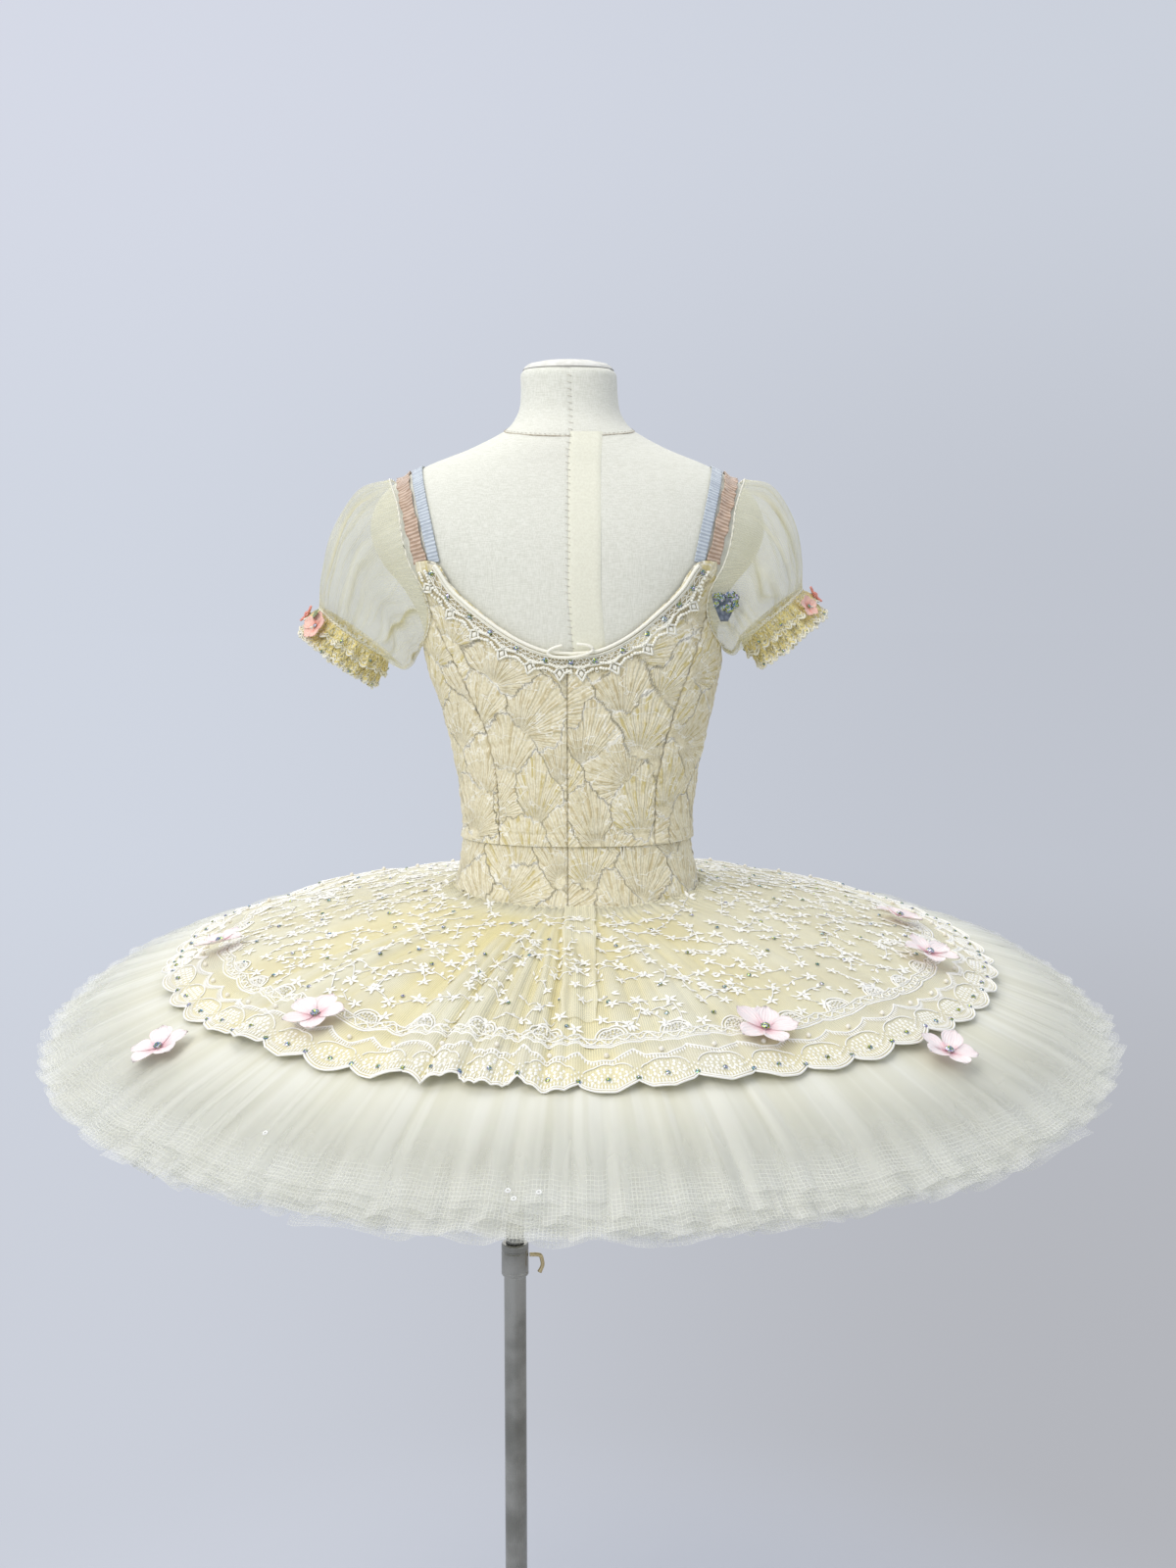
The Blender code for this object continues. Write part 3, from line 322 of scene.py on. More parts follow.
# ---------------------------------------------------------------- materials
class Nodes:
    """Small helpers for a node tree; each gives back an output socket."""

    def __init__(self, tree):
        self.tree = tree

    def put(self, socket, value):
        if isinstance(value, bpy.types.NodeSocket):
            self.tree.links.new(value, socket)
        elif isinstance(value, tuple) and len(value) == 3 and socket.type == "RGBA":
            socket.default_value = (*value, 1.0)
        else:
            socket.default_value = value

    def node(self, kind, out=0, settings=None, **inputs):
        node = self.tree.nodes.new("ShaderNode" + kind)
        for key, value in (settings or {}).items():
            setattr(node, key, value)
        for key, value in inputs.items():
            self.put(node.inputs[int(key[1:]) if key[1:].isdigit() else key.replace("_", " ")], value)
        return node.outputs[out]

    def math(self, operation, a, b=0.0, c=0.0):
        return self.node("Math", settings={"operation": operation}, _0=a, _1=b, _2=c)

    def times(self, a, b):
        return self.math("MULTIPLY", a, b)

    def plus(self, a, b):
        return self.math("ADD", a, b)

    def minus(self, a, b):
        return self.math("SUBTRACT", a, b)

    def most(self, a, b):
        return self.math("MAXIMUM", a, b)

    def sine(self, a):
        return self.math("SINE", a)

    def cosine(self, a):
        return self.math("COSINE", a)

    def size(self, a):
        return self.math("ABSOLUTE", a)

    def vector(self, operation, a, b=(0.0, 0.0, 0.0)):
        out = 1 if operation in ("LENGTH", "DOT_PRODUCT", "DISTANCE") else 0
        return self.node("VectorMath", out, {"operation": operation}, _0=a, _1=b)

    def value(self, name):
        return self.node("Attribute", 2, {"attribute_name": name})

    def triple(self, name):
        return self.node("Attribute", 1, {"attribute_name": name})

    def parts(self, vector):
        node = self.tree.nodes.new("ShaderNodeSeparateXYZ")
        self.put(node.inputs[0], vector)
        return node.outputs

    def place(self):
        return self.node("TexCoord", 3)

    def noise(self, vector, scale, detail=3.0, rough=0.5):
        return self.node("TexNoise", 0, None, Vector=vector, Scale=scale, Detail=detail, Roughness=rough)

    def mesh(self, vector, scale, random=1.0):
        settings = {"feature": "DISTANCE_TO_EDGE"}
        return self.node("TexVoronoi", 0, settings, Vector=vector, Scale=scale, Randomness=random)

    def ramp(self, value, low, high, a=0.0, b=1.0):
        settings = {"interpolation_type": "SMOOTHSTEP"}
        ends = {"From_Min": low, "From_Max": high, "To_Min": a, "To_Max": b}
        return self.node("MapRange", 0, settings, Value=value, **ends)

    def mix(self, share, a, b):
        return self.node("Mix", 2, {"data_type": "RGBA"}, _0=share, _6=a, _7=b)

    def scaled(self, vector, x, y, z=1.0):
        return self.vector("MULTIPLY", vector, (x, y, z))


class Shade(Nodes):
    """A Principled material; its name and roughness, then any other sockets by name."""

    def __init__(self, name, roughness, **sockets):
        self.material = bpy.data.materials.new(name)
        self.material.use_nodes = True
        super().__init__(self.material.node_tree)
        self.base = self.tree.nodes["Principled BSDF"]
        for key, value in {"Roughness": roughness, **sockets}.items():
            self.base.inputs[key.replace("_", " ")].default_value = value

    def set(self, name, value):
        self.put(self.base.inputs[name], value)

    def mottle(self, scale, low, high, a, b):
        """A base colour that wanders between two tones."""
        self.set("Base Color", self.mix(self.ramp(self.noise(self.place(), scale), low, high), a, b))

    def bump(self, height, distance, strength=1.0):
        self.set("Normal", self.node("Bump", 0, None, Height=height, Distance=distance, Strength=strength))


def weave(shade, vector, threads=1400.0):
    """Height of a plain weave, 0 to 1."""
    x, y, _ = shade.parts(shade.scaled(vector, threads * math.pi, threads * math.pi))
    return shade.size(shade.times(shade.sine(x), shade.sine(y)))


def linen_shade():
    s = Shade("linen_cover", 0.92, Sheen_Weight=0.12)
    place = s.place()
    grain = s.noise(s.scaled(place, 1.0, 1.0, 0.10), 1500.0, 2.0)
    cross = s.noise(s.scaled(place, 0.10, 0.10, 1.0), 1700.0, 2.0)
    tone = s.noise(place, 5.0, 2.0)
    cloth = s.mix(s.ramp(s.plus(grain, cross), 0.75, 1.25), (0.70, 0.70, 0.60), (0.84, 0.84, 0.75))
    s.set("Base Color", s.mix(s.ramp(tone, 0.35, 0.7, 0.0, 0.3), cloth, (0.80, 0.77, 0.68)))
    s.bump(s.plus(grain, cross), 0.0003, 0.5)
    return s.material


def brocade_shade():
    """Ivory cloth woven in fans: broad tan flutes, fine pale ribs and white wandering ridges, with a painted
    shade line along the seams.
    """
    s = Shade("brocade_cloth", 0.6)
    x, y, kind = s.parts(s.triple("fan"))
    rim = s.value("rim")
    place = s.place()
    angle = s.plus(s.math("ARCTAN2", y, x), s.times(s.noise(place, 60.0, 2.0), 0.10))
    far = s.vector("LENGTH", s.scaled(s.triple("fan"), 1.0, 1.0, 0.0))
    clear = s.ramp(far, 0.004, 0.014)
    flute = s.cosine(s.plus(s.times(angle, 27.0), s.times(kind, 9.0)))
    fine = s.cosine(s.times(angle, 81.0))
    broken = s.noise(s.scaled(s.triple("fan"), 1.0, 1.0, 4.0), 75.0, 3.0)
    crumb = s.noise(place, 420.0, 3.0)
    tan = s.times(s.ramp(flute, -0.05, 0.60), s.ramp(broken, 0.43, 0.56))
    tan = s.times(s.times(tan, clear), s.ramp(crumb, 0.30, 0.52, 0.35, 1.0))
    edge = s.ramp(rim, 0.0017, 0.0005)
    edge = s.times(edge, s.ramp(s.noise(place, 75.0, 2.0), 0.40, 0.52))
    wander = s.size(s.minus(s.noise(s.scaled(place, 1.0, 1.0, 1.7), 30.0, 3.0), 0.5))
    edge = s.most(edge, s.times(s.ramp(wander, 0.013, 0.004), 0.8))
    speck = s.noise(place, 1100.0, 2.0)
    ground = s.mix(s.ramp(crumb, 0.34, 0.62), (0.74, 0.665, 0.45), (0.85, 0.785, 0.575))
    stripe = s.mix(s.ramp(kind, 0.62, 0.66), (0.58, 0.48, 0.26), (0.62, 0.51, 0.18))
    colour = s.mix(s.times(tan, 0.80), ground, stripe)
    pale = s.times(s.times(s.ramp(fine, 0.35, 0.95), clear), s.ramp(s.noise(place, 160.0, 2.0), 0.42, 0.58))
    colour = s.mix(s.times(pale, 0.75), colour, (0.99, 0.955, 0.80))
    colour = s.mix(edge, colour, (1.0, 0.97, 0.85))
    # painted shade: a dark tan line along each seam's groove
    s.set("Base Color", s.mix(s.value("seam_shade"), colour, (0.36, 0.29, 0.17)))
    s.set("Roughness", s.ramp(tan, 0.0, 1.0, 0.70, 0.50))
    s.base.inputs["Specular IOR Level"].default_value = 0.25
    height = s.minus(s.times(fine, 0.28), s.times(flute, 0.42))
    height = s.plus(s.times(height, clear), s.times(edge, 0.35))
    s.bump(s.plus(height, s.times(s.plus(crumb, s.times(speck, 0.5)), 0.45)), 0.0009, 0.8)
    return s.material


# ---------------------------------------------------------------- the form
def neck_seam(angle):
    """Height of the seam between the form's shoulders and its neck."""
    return 1.4135 - 0.010 * np.sin(angle)


def build_form():
    """The padded form: linen cover with a seam down the back, a neck seam and a cap."""
    heights = np.concatenate([np.linspace(FORM_BOTTOM, 1.20, 30), np.linspace(1.204, NECK_TOP, 76)])
    around = circle(150)
    a, z = np.meshgrid(around, heights)
    seam = bell(body(a, z)[..., 0] - lean(z) + 0.001, 0.0012) * (np.abs(np.sin(a)) > 0.5)
    ring = bell(z - neck_seam(a), 0.0011)
    out = FORM_OUT - 0.0006 * seam - 0.0006 * ring + 0.0004 * waves(a * 5 + z * 30, 3)
    out = out - 0.0032 * np.clip((z - NECK_TOP + 0.0055) / 0.0055, 0, 1) ** 2.5
    grid = body(a, z, out)
    edge_low = np.linspace(0.98, 0.0, 12)[:, None, None]
    middle = np.array([lean(FORM_BOTTOM), 0.0, FORM_BOTTOM])
    bottom = middle + (grid[0] - middle) * edge_low
    bottom[..., 2] = FORM_BOTTOM - 0.0002
    middle = np.array([lean(NECK_TOP), 0.0, NECK_TOP])
    top = middle + (grid[-1] - middle) * np.linspace(0.99, 0.0, 6)[:, None, None]
    b = Batch()
    b.grid(np.concatenate([bottom[::-1], grid, top]), ring=True, flip=True)
    b.build("form_linen_cover", linen_shade(), "linen", ["form_torso"])


CAP_PROFILE = (
    # radius, height over the neck's top
    (0.0005, 0.0098), (0.026, 0.0084), (0.0370, 0.0060),
    (0.0410, 0.0034), (0.0424, 0.0012), (0.0422, -0.0006),
)


def build_form_trim():
    """Stitches down the back seam and round the neck, a dark cord painted as the neck seam's shadow, the tape
    beside the seam and the cap.
    """
    b = Batch()
    for z in np.arange(1.18, 1.462, 0.0062):
        x = np.array([-0.0022, 0.0018]) - 0.001 + 0.0006 * math.sin(z * 900)
        height = np.array([z, z + 0.0012])
        b.tube(body(angle_at(x, height), height, 0.0001), 0.00028, 4)
    for a in np.arange(0, TAU, 0.075):
        turn = np.array([a, a + 0.035])
        z = neck_seam(turn) + 0.0016
        b.tube(body(turn, z, 0.0001), 0.00025, 4)
    s = Shade("form_thread", 0.8)
    s.set("Base Color", (0.58, 0.55, 0.47))
    b.build("form_stitches", s.material, "linen")
    # a dark cord sunk into the neck seam: painted shadow
    b = Batch()
    turn = circle(160)
    z = neck_seam(turn)
    b.loop(body(turn, z, -0.0009), 0.0006, 5)
    s = Shade("form_seam_shadow", 0.9)
    s.mottle(400.0, 0.35, 0.65, (0.40, 0.34, 0.25), (0.60, 0.55, 0.45))
    b.build("form_neck_seam_shadow", s.material, "linen")

    tape = Batch()
    z = np.linspace(1.175, 1.408, 60)[:, None]
    x = np.linspace(0.0, -0.030, 12)[None, :] - 0.0015
    edge = np.minimum(np.arange(12), 11 - np.arange(12))
    lift = np.where(edge > 0, 0.0004, -0.0006)[None, :]
    grid = body(angle_at(x + 0 * z, z + 0 * x), z + 0 * x, lift + 0 * z)
    tape.grid(grid)
    s = Shade("seam_tape", 0.85)
    s.mottle(500.0, 0.3, 0.7, (0.80, 0.785, 0.64), (0.86, 0.85, 0.705))
    s.bump(weave(s, s.place(), 900.0), 0.0003, 0.4)
    tape.build("form_back_tape", s.material, "linen")

    cap = Batch()
    turn = circle(96)
    fine = np.stack([np.interp(np.linspace(0, 5, 21), range(6), column) for column in zip(*CAP_PROFILE)], -1)
    grid = polar(fine[:, :1], turn[None, :], NECK_TOP + fine[:, 1:])
    grid[..., 0] += lean(NECK_TOP)
    cap.grid(grid, ring=True)
    s = Shade("cap_board", 0.7)
    s.mottle(120.0, 0.3, 0.7, (0.74, 0.73, 0.66), (0.86, 0.85, 0.79))
    s.bump(weave(s, s.place(), 900.0), 0.0003, 0.5)
    cap.build("form_cap_cover", s.material, "neck_cap", ["form_neck_cap"])
    edge = Batch()
    rim = polar(np.full(96, 0.0427), turn, NECK_TOP + 0.0004) + [lean(NECK_TOP), 0, 0]
    edge.loop(rim, 0.0003, 5)
    dark = metal("cap_edge_metal", (0.24, 0.23, 0.21), (0.36, 0.34, 0.31), 0.4)
    edge.build("form_cap_edge", dark, "neck_cap")


# ---------------------------------------------------------------- bodice and basque
FAN_STEP, FAN_SLANT = 0.064, 0.22
FLAT_RADIUS = 0.118  # turns a direction into the cloth's flat width
WAIST_SEAM_Z = 0.979


def make_fans():
    """Middles and opening directions of the woven fans, over the cloth's own flat."""
    spots = []
    for row, v in enumerate(np.arange(0.93, 1.33, FAN_STEP * 0.62)):
        for u in np.arange(-0.48, 0.48, FAN_STEP):
            shift = FAN_STEP / 2 * (row % 2)
            spots.append((u + shift + rng.uniform(-0.014, 0.014), v + rng.uniform(-0.011, 0.011)))
    spots = np.array(spots)
    heading = rng.normal(88, 34, len(spots)) * math.pi / 180
    return spots, heading


fan_spots, fan_heading = make_fans()


def fan_cloth(u, v):
    """The woven pattern at flat places: place in the nearest fan, distance to its outline, relief."""
    warp_u = u + 0.0030 * np.sin(v * 110 + 2.0 * np.sin(u * 70)) + 0.0010 * np.sin(v * 520 + u * 300)
    warp_v = v + FAN_SLANT * u + 0.0040 * np.sin(u * 90 + 2.0 * np.sin(v * 60))
    warp_v = warp_v + 0.0013 * np.sin(u * 480 - v * 260) + 0.0007 * np.sin(u * 1300 + v * 500)
    flat = np.stack([warp_u.ravel(), warp_v.ravel()], -1)
    slant = np.array([0, FAN_SLANT]) * fan_spots[None, :, :1]
    far = np.linalg.norm(flat[:, None] - fan_spots[None] - slant, axis=2)
    order = np.argpartition(far, 1, axis=1)[:, :2]
    pair = np.take_along_axis(far, order, 1)
    swap = pair[:, 0] > pair[:, 1]
    nearest = np.where(swap, order[:, 1], order[:, 0])
    apart = fan_spots[order[:, 0]] - fan_spots[order[:, 1]]
    level = np.abs(apart[:, 1]) / np.linalg.norm(apart, axis=1)
    rim = np.abs(pair[:, 0] - pair[:, 1]) / 2 + 0.0035 * smooth(0.75 - level, 0.0, 0.3)
    heading = fan_heading[nearest]
    ahead = np.stack([np.cos(heading), np.sin(heading)], -1)
    root = fan_spots[nearest] - ahead * 0.033
    away = np.stack([u.ravel(), v.ravel()], -1) - root
    x = (away * ahead).sum(1)
    y = away[:, 1] * ahead[:, 0] - away[:, 0] * ahead[:, 1]
    kind = (nearest * 0.37) % 1.0
    shape = u.shape
    fan = np.stack([x, y, kind], -1).reshape(*shape, 3)
    angle = np.arctan2(y, x)
    rib = -np.cos(27 * angle + 9 * kind) * smooth(np.hypot(x, y), 0.010, 0.024)
    line = bell(rim, 0.0011)
    relief = (0.00026 * rib + 0.00022 * line).reshape(shape)
    return fan, rim.reshape(shape), relief


def upright(first, last, bottom, top, rows, columns, out, shift=0.0, sink=0.0012, top_sink=0.0012, band=BAND):
    """A panel between two upright edges; its edges roll in at the seams."""
    u = np.linspace(0, 1, columns)[None, :]
    v = np.linspace(0, 1, rows)[:, None]
    low, high = bottom(u), top(u)
    z = low + (high - low) * v
    a = first(z) + (last(z) - first(z)) * u
    flat_u = a * FLAT_RADIUS + shift
    fan, rim, relief = fan_cloth(flat_u, z + 0 * u + shift * 0.7)
    width = FLAT_RADIUS * np.abs(last(z) - first(z))
    edge = np.minimum(u, 1 - u) * width
    length = high - low
    rise = (1 - v) * length
    roll = -sink * bell(edge, 0.0014) - top_sink * bell(rise, 0.0012)
    pucker = 0.0005 * np.sin(z * TAU / 0.0085 + 3 * np.sin(z * 70)) * bell(edge, 0.007)
    drag = 0.0007 * waves(z * 60 + a * 2.2, 5) + 0.0005 * waves(z * 160 - a * 3.0, 8)
    hem = 0.0007 * bell(v * length - band, 0.0009) * (band > 0)
    grid = body(a, z, out + relief + roll + pucker + drag - hem)
    # painted shade for the seam's groove, darkest right at each edge
    seam_shade = 0.50 * bell(edge, 0.0007)
    return grid, {"fan": fan, "rim": rim + 0.004 * bell(edge, 0.001), "seam_shade": seam_shade}


def neck_height(first, last, table, columns):
    """Heights of a panel's top edge that follows a neckline."""
    u = np.linspace(0, 1, columns)[None, :]
    z = np.full_like(u, 1.24)
    for _ in range(10):
        a = first(z) + (last(z) - first(z)) * u
        z = blend(table, np.abs(reach(a, z) * np.cos(a)), 1)
    return lambda _: z


def seam_z(angle):
    """Height of the seam between basque and skirt, lower at the back than in front."""
    s = np.sin(angle)
    return WAIST_SEAM_Z - np.where(s > 0, 0.0115, 0.010) * s


def build_panel(name, flat, cloth, first, last, low, top, size, flip=True):
    """One brocade panel as a sheet; first and last are its edges, low and top its ends."""
    grid, values = upright(first, last, low, top, *size)
    b = Batch()
    b.grid(grid, flip=flip, **values)
    b.build(f"{name}_cloth", cloth, "brocade", [name], flat, "stretched", ["form_torso"])


def build_bodice(cloth):
    """Seven panels, each between two upright seams and from the hem to the neckline or armhole."""
    slit = 0.0001
    low = lambda u: HEM_Z + 0 * u
    for side, name, flank in ((1, "left", 0.0), (-1, "right", math.pi)):
        closed = lambda z, s=side: angle_at(CLOSURE_X - lean(z) + s * slit, z)
        outer = lambda z, s=side: angle_at(s * (blend(BACK_SEAM, z, 1) - slit), z)
        inner = lambda z, s=side: angle_at(s * (blend(BACK_SEAM, z, 1) + slit), z)
        behind = lambda z, f=flank, s=side: f + s * slit / reach(f, z)
        before = lambda z, f=flank, s=side: f - s * slit / reach(f, z)
        full = TAU if flank else 0.0
        front = lambda z, s=side, f=full: angle_at(s * (blend(FRONT_SEAM, z, 1) + slit), z, False) + f
        rise_in = lambda u: ARMHOLE_BOTTOM + (ARMHOLE_TIP - ARMHOLE_BOTTOM) * (1 - u) ** 2
        rise_out = lambda u: ARMHOLE_BOTTOM + (ARMHOLE_TIP - ARMHOLE_BOTTOM) * u**2
        neck = neck_height(closed, outer, BACK_NECK, 66)
        lift = 0.0005 if side < 0 else 0.0
        jobs = (
            # piece, edges, top, rows, columns, flat shift, flat size
            ("centre_back", closed, outer, neck, 210, 66, 0.013, (0.095, 0.235)),
            ("side_back", inner, behind, rise_in, 176, 56, 0.041, (0.080, 0.215)),
            ("side_front", before, front, rise_out, 100, 36, 0.067, (0.090, 0.215)),
        )
        for piece, first, last, top, rows, columns, shift, flat in jobs:
            size = (rows, columns, BODICE_OUT + lift, shift * side)
            build_panel(f"bodice_{piece}_{name}", flat, cloth, first, last, low, top, size, side > 0)
    right = lambda z: angle_at(-(blend(FRONT_SEAM, z, 1) - slit), z, False)
    left = lambda z: angle_at(blend(FRONT_SEAM, z, 1) - slit, z, False)
    neck = neck_height(right, left, FRONT_NECK, 80)
    size = (110, 80, BODICE_OUT, 0.09)
    build_panel("bodice_centre_front", (0.19, 0.225), cloth, right, left, low, neck, size)


def build_basque(cloth):
    slit = 0.0001
    left_seam = lambda z: slit / reach(0.0, z)
    right_seam = lambda z: math.pi - slit / reach(math.pi, z)
    closed_left = lambda z: angle_at(CLOSURE_X - lean(z) + slit, z)
    closed_right = lambda z: angle_at(CLOSURE_X - lean(z) - slit, z)
    front_right = lambda z: -math.pi + slit / reach(math.pi, z)
    front_left = lambda z: -slit / reach(0.0, z)
    top = lambda u: BASQUE_TOP + 0 * u
    jobs = (
        # piece, edges, columns, flat shift, flat size
        ("back_left", left_seam, closed_left, 96, 0.031, (0.165, 0.065)),
        ("back_right", closed_right, right_seam, 110, 0.052, (0.185, 0.065)),
        ("front", front_right, front_left, 120, 0.077, (0.335, 0.062)),
    )
    for piece, first, last, columns, shift, flat in jobs:
        level = np.full((1, columns), WAIST_SEAM_Z)
        spread = first(level) + (last(level) - first(level)) * np.linspace(0, 1, columns)[None, :]
        low = lambda _, a=spread: seam_z(a)
        size = (46, columns, BASQUE_OUT, shift, 0.0008, 0.0, 0.0)
        build_panel(f"basque_{piece}", flat, cloth, first, last, low, top, size)


# ---------------------------------------------------------------- skirt
CLOTH, GAP = 0.0012, 0.0003
SEAM_OUT = 4 * GAP + 1.2 * CLOTH
RIM_RADIUS, LACE_RADIUS, TOP_RADIUS = 0.503, 0.394, 0.345
UNDER_SEAM = 0.0065
LACE_SCALLOPS, LACE_DEPTH = 52, 0.0085
TOP_SCALLOPS, TOP_DEPTH = 40, 0.0045
# radius, scallops and their depth: the lower overlay's rim (0) and the upper one's (1)
RIMS = ((LACE_RADIUS, LACE_SCALLOPS, LACE_DEPTH), (TOP_RADIUS, TOP_SCALLOPS, TOP_DEPTH))
TULLE = (
    # node, rim radius, below the seam, below the rim, pleats, height of pleats at the rim, lobe depth
    ("tulle_top", 0.492, 0.0065, 0.000, 74, 0.0030, 0.012),
    ("tulle_top", 0.500, 0.0085, 0.003, 66, 0.0040, 0.015),
    ("tulle_top", 0.504, 0.0105, 0.008, 81, 0.0050, 0.016),
    ("tulle_second", 0.505, 0.0130, 0.014, 59, 0.0058, 0.017),
    ("tulle_second", 0.501, 0.0150, 0.020, 70, 0.0062, 0.016),
    ("tulle_second", 0.498, 0.0170, 0.027, 55, 0.0066, 0.017),
    ("tulle_third", 0.490, 0.0190, 0.031, 63, 0.0070, 0.017),
    ("tulle_third", 0.483, 0.0210, 0.036, 52, 0.0072, 0.018),
    ("tulle_third", 0.474, 0.0230, 0.042, 58, 0.0072, 0.018),
)
PLACKET_HALF, PLACKET_START, PLACKET_END = 0.0145, 0.0935, 0.312
TULLE_ROWS = (0.0, 0.12, 0.28, 0.44, 0.58, 0.70, 0.78, 0.85, 0.90, 0.94, 0.97, 1.0)
TULLE_CUT = (2.15, 0.385)
OVERLAY_COLUMNS = 1144
FLOWER_RADIUS = 0.0275
SKIRT_FLOWERS = (
    # name, distance from the axis, azimuth, turn, size
    ("back_1", 0.4340, 35.2, 18, 1.0),
    ("back_2", 0.3560, 52.4, 40, 1.0),
    ("side_1", 0.3440, 12.3, 0, 0.9),
    ("back_3", 0.3500, 115.4, 5, 1.02),
    ("back_4", 0.4180, 136.8, 50, 0.95),
    ("side_2", 0.3380, 161.3, 0, 1.0),
    ("side_3", 0.3150, 184.3, 30, 0.9),
)


def waist_reach(angle, z, out):
    """The seam's distance from the skirt's own axis."""
    p = body(angle, z, out)
    for _ in range(6):
        now = np.arctan2(p[..., 1], p[..., 0])
        p = body(np.arctan2(p[..., 1], p[..., 0] - lean(z)) + (angle - now), z, out)
    return np.hypot(p[..., 0], p[..., 1])


AROUND = np.linspace(-math.pi, math.pi, 1441)
SEAM_START = waist_reach(AROUND, seam_z(AROUND), SEAM_OUT)


def skirt_share(r, angle):
    """How far out on the skirt: 0 at the waist seam, 1 at the rim."""
    start = np.interp(angle, AROUND, SEAM_START, period=TAU)
    return np.maximum(0.0, (r - start) / (RIM_RADIUS - start))


def rim_z(angle):
    return 0.876 - 0.048 * np.sin(angle) - 0.005 * np.cos(2 * angle)


def plate_z(r, angle, under_seam=0.0, under_rim=0.0):
    share = skirt_share(r, angle)
    start, end = seam_z(angle) - under_seam, rim_z(angle) - under_rim
    return start + (end - start) * share ** (1.25 + 0.30 * np.sin(angle))


def pleat_height(r, angle):
    return 0.0012 + 0.0050 * skirt_share(r, angle) ** 1.5


def overlay_fold(r, angle):
    share = np.minimum(skirt_share(r, angle) * RIM_RADIUS / 0.39, 1.0)
    deep = 0.675 + 0.325 * np.cos(angle - math.radians(60))
    return (0.001 + 0.010 * share * deep) * (0.5 - 0.5 * np.cos(12 * angle))


def overlay_z(r, angle, level):
    """Height of the lower overlay (0) or the upper one (1), with its small sharp folds."""
    share = skirt_share(r, angle)
    z = plate_z(r, angle, UNDER_SEAM) + pleat_height(r, angle) + 0.0020 + 0.6 * overlay_fold(r, angle)
    deep = 0.16 + 0.84 * smooth(np.cos(angle - math.radians(72)), 0.70, 0.98)
    grow = smooth(share, 0.0, 0.40)
    phase = 25 * angle + 2.2 * np.sin(4 * angle + 1) + 1.3 * np.sin(9 * angle)
    phase = phase + 2.4 * grow * np.sin(3 * angle)
    crease = np.abs(np.sin(phase)) ** 0.7 + 0.5 * np.abs(np.sin(2.3 * phase + 1)) ** 0.8
    z = z + 0.0064 * deep * grow * (crease - 0.95)
    gathers = np.exp(-share / 0.07) * np.sin(95 * angle + 2 * np.sin(7 * angle))
    flute = smooth(share, 0.35, 0.72) * 0.0030 * waves(angle * 11, 17)
    rim = RIMS[level][0]
    sink = (0.0022 if level else 0.0034) * smooth(r, rim - 0.035, rim)
    z = z + 0.0010 * gathers + flute - sink + level * 0.0014 + 0.0062 * np.exp(-share / 0.028)
    floor = plate_z(r, angle, UNDER_SEAM) + 0.0030 + level * 0.0010
    return floor + 0.5 * (z - floor + np.hypot(z - floor, 0.0016))


def slopes(surface, r, a, *rest):
    """Point and upward normal of a skirt surface at polar places."""
    step = 0.0015
    here = polar(r, a, surface(r, a, *rest))
    out = polar(r + step, a, surface(r + step, a, *rest)) - here
    turn = step / np.maximum(r, 0.05)
    side = polar(r, a + turn, surface(r, a + turn, *rest)) - here
    return here, unit(np.cross(out, side))


def tulle_shade(name, thin, thick):
    """Stiff net: hexagonal cells, thinner towards the rim and denser where folds double it; painted light
    brightens and warms it near the lace.
    """
    s = Shade(name, 0.85, Sheen_Weight=0.1, Subsurface_Weight=0.2)
    s.base.inputs["Subsurface Radius"].default_value = (0.01, 0.01, 0.009)
    net = s.mesh(s.triple("flat"), 1 / 0.0028, 0.10)
    share, dense = s.value("share"), s.value("dense")
    doubled = s.times(dense, s.ramp(share, 0.80, 0.95, 0.12, 0.26))
    cover = s.plus(s.ramp(share, 0.76, 0.955, thick, thin), doubled)
    strand = s.times(s.ramp(net, 0.13, 0.03), s.ramp(share, 0.90, 0.97, 0.0, 0.55))
    s.set("Alpha", s.most(cover, strand))
    tone = s.noise(s.place(), 14.0, 2.0)
    plain = s.mix(s.ramp(tone, 0.3, 0.7), (0.79, 0.79, 0.70), (0.82, 0.825, 0.745))
    # painted light: a brighter, warmer tint near the lace, standing for light through the cream overlay and
    # lifting the shade beneath it
    plain = s.mix(s.ramp(share, 0.94, 0.72, 0.0, 0.62), plain, (0.90, 0.87, 0.66))
    s.set("Base Color", s.mix(s.times(dense, 0.6), plain, (0.87, 0.87, 0.795)))
    return s.material


def pleat_profile(angle, pleats, seed):
    """Fold height, lobe and overhang along the angle for pleats of uneven width."""
    r = np.random.default_rng(seed)
    widths = r.uniform(0.45, 1.6, pleats)
    edges = np.concatenate([[0.0], np.cumsum(widths)]) / widths.sum() * TAU
    where = np.clip(np.searchsorted(edges, angle % TAU, "right") - 1, 0, pleats - 1)
    t = (angle % TAU - edges[where]) / (edges[where + 1] - edges[where])
    tall, skew = r.uniform(0.35, 1.0, pleats)[where], r.uniform(0.30, 0.65, pleats)[where]
    rise = np.where(t < skew, t / skew, (1 - t) / (1 - skew))
    out = r.uniform(-0.5, 1.0, pleats)[where]
    return tall * smooth(rise), np.sin(math.pi * t) ** 0.6, out


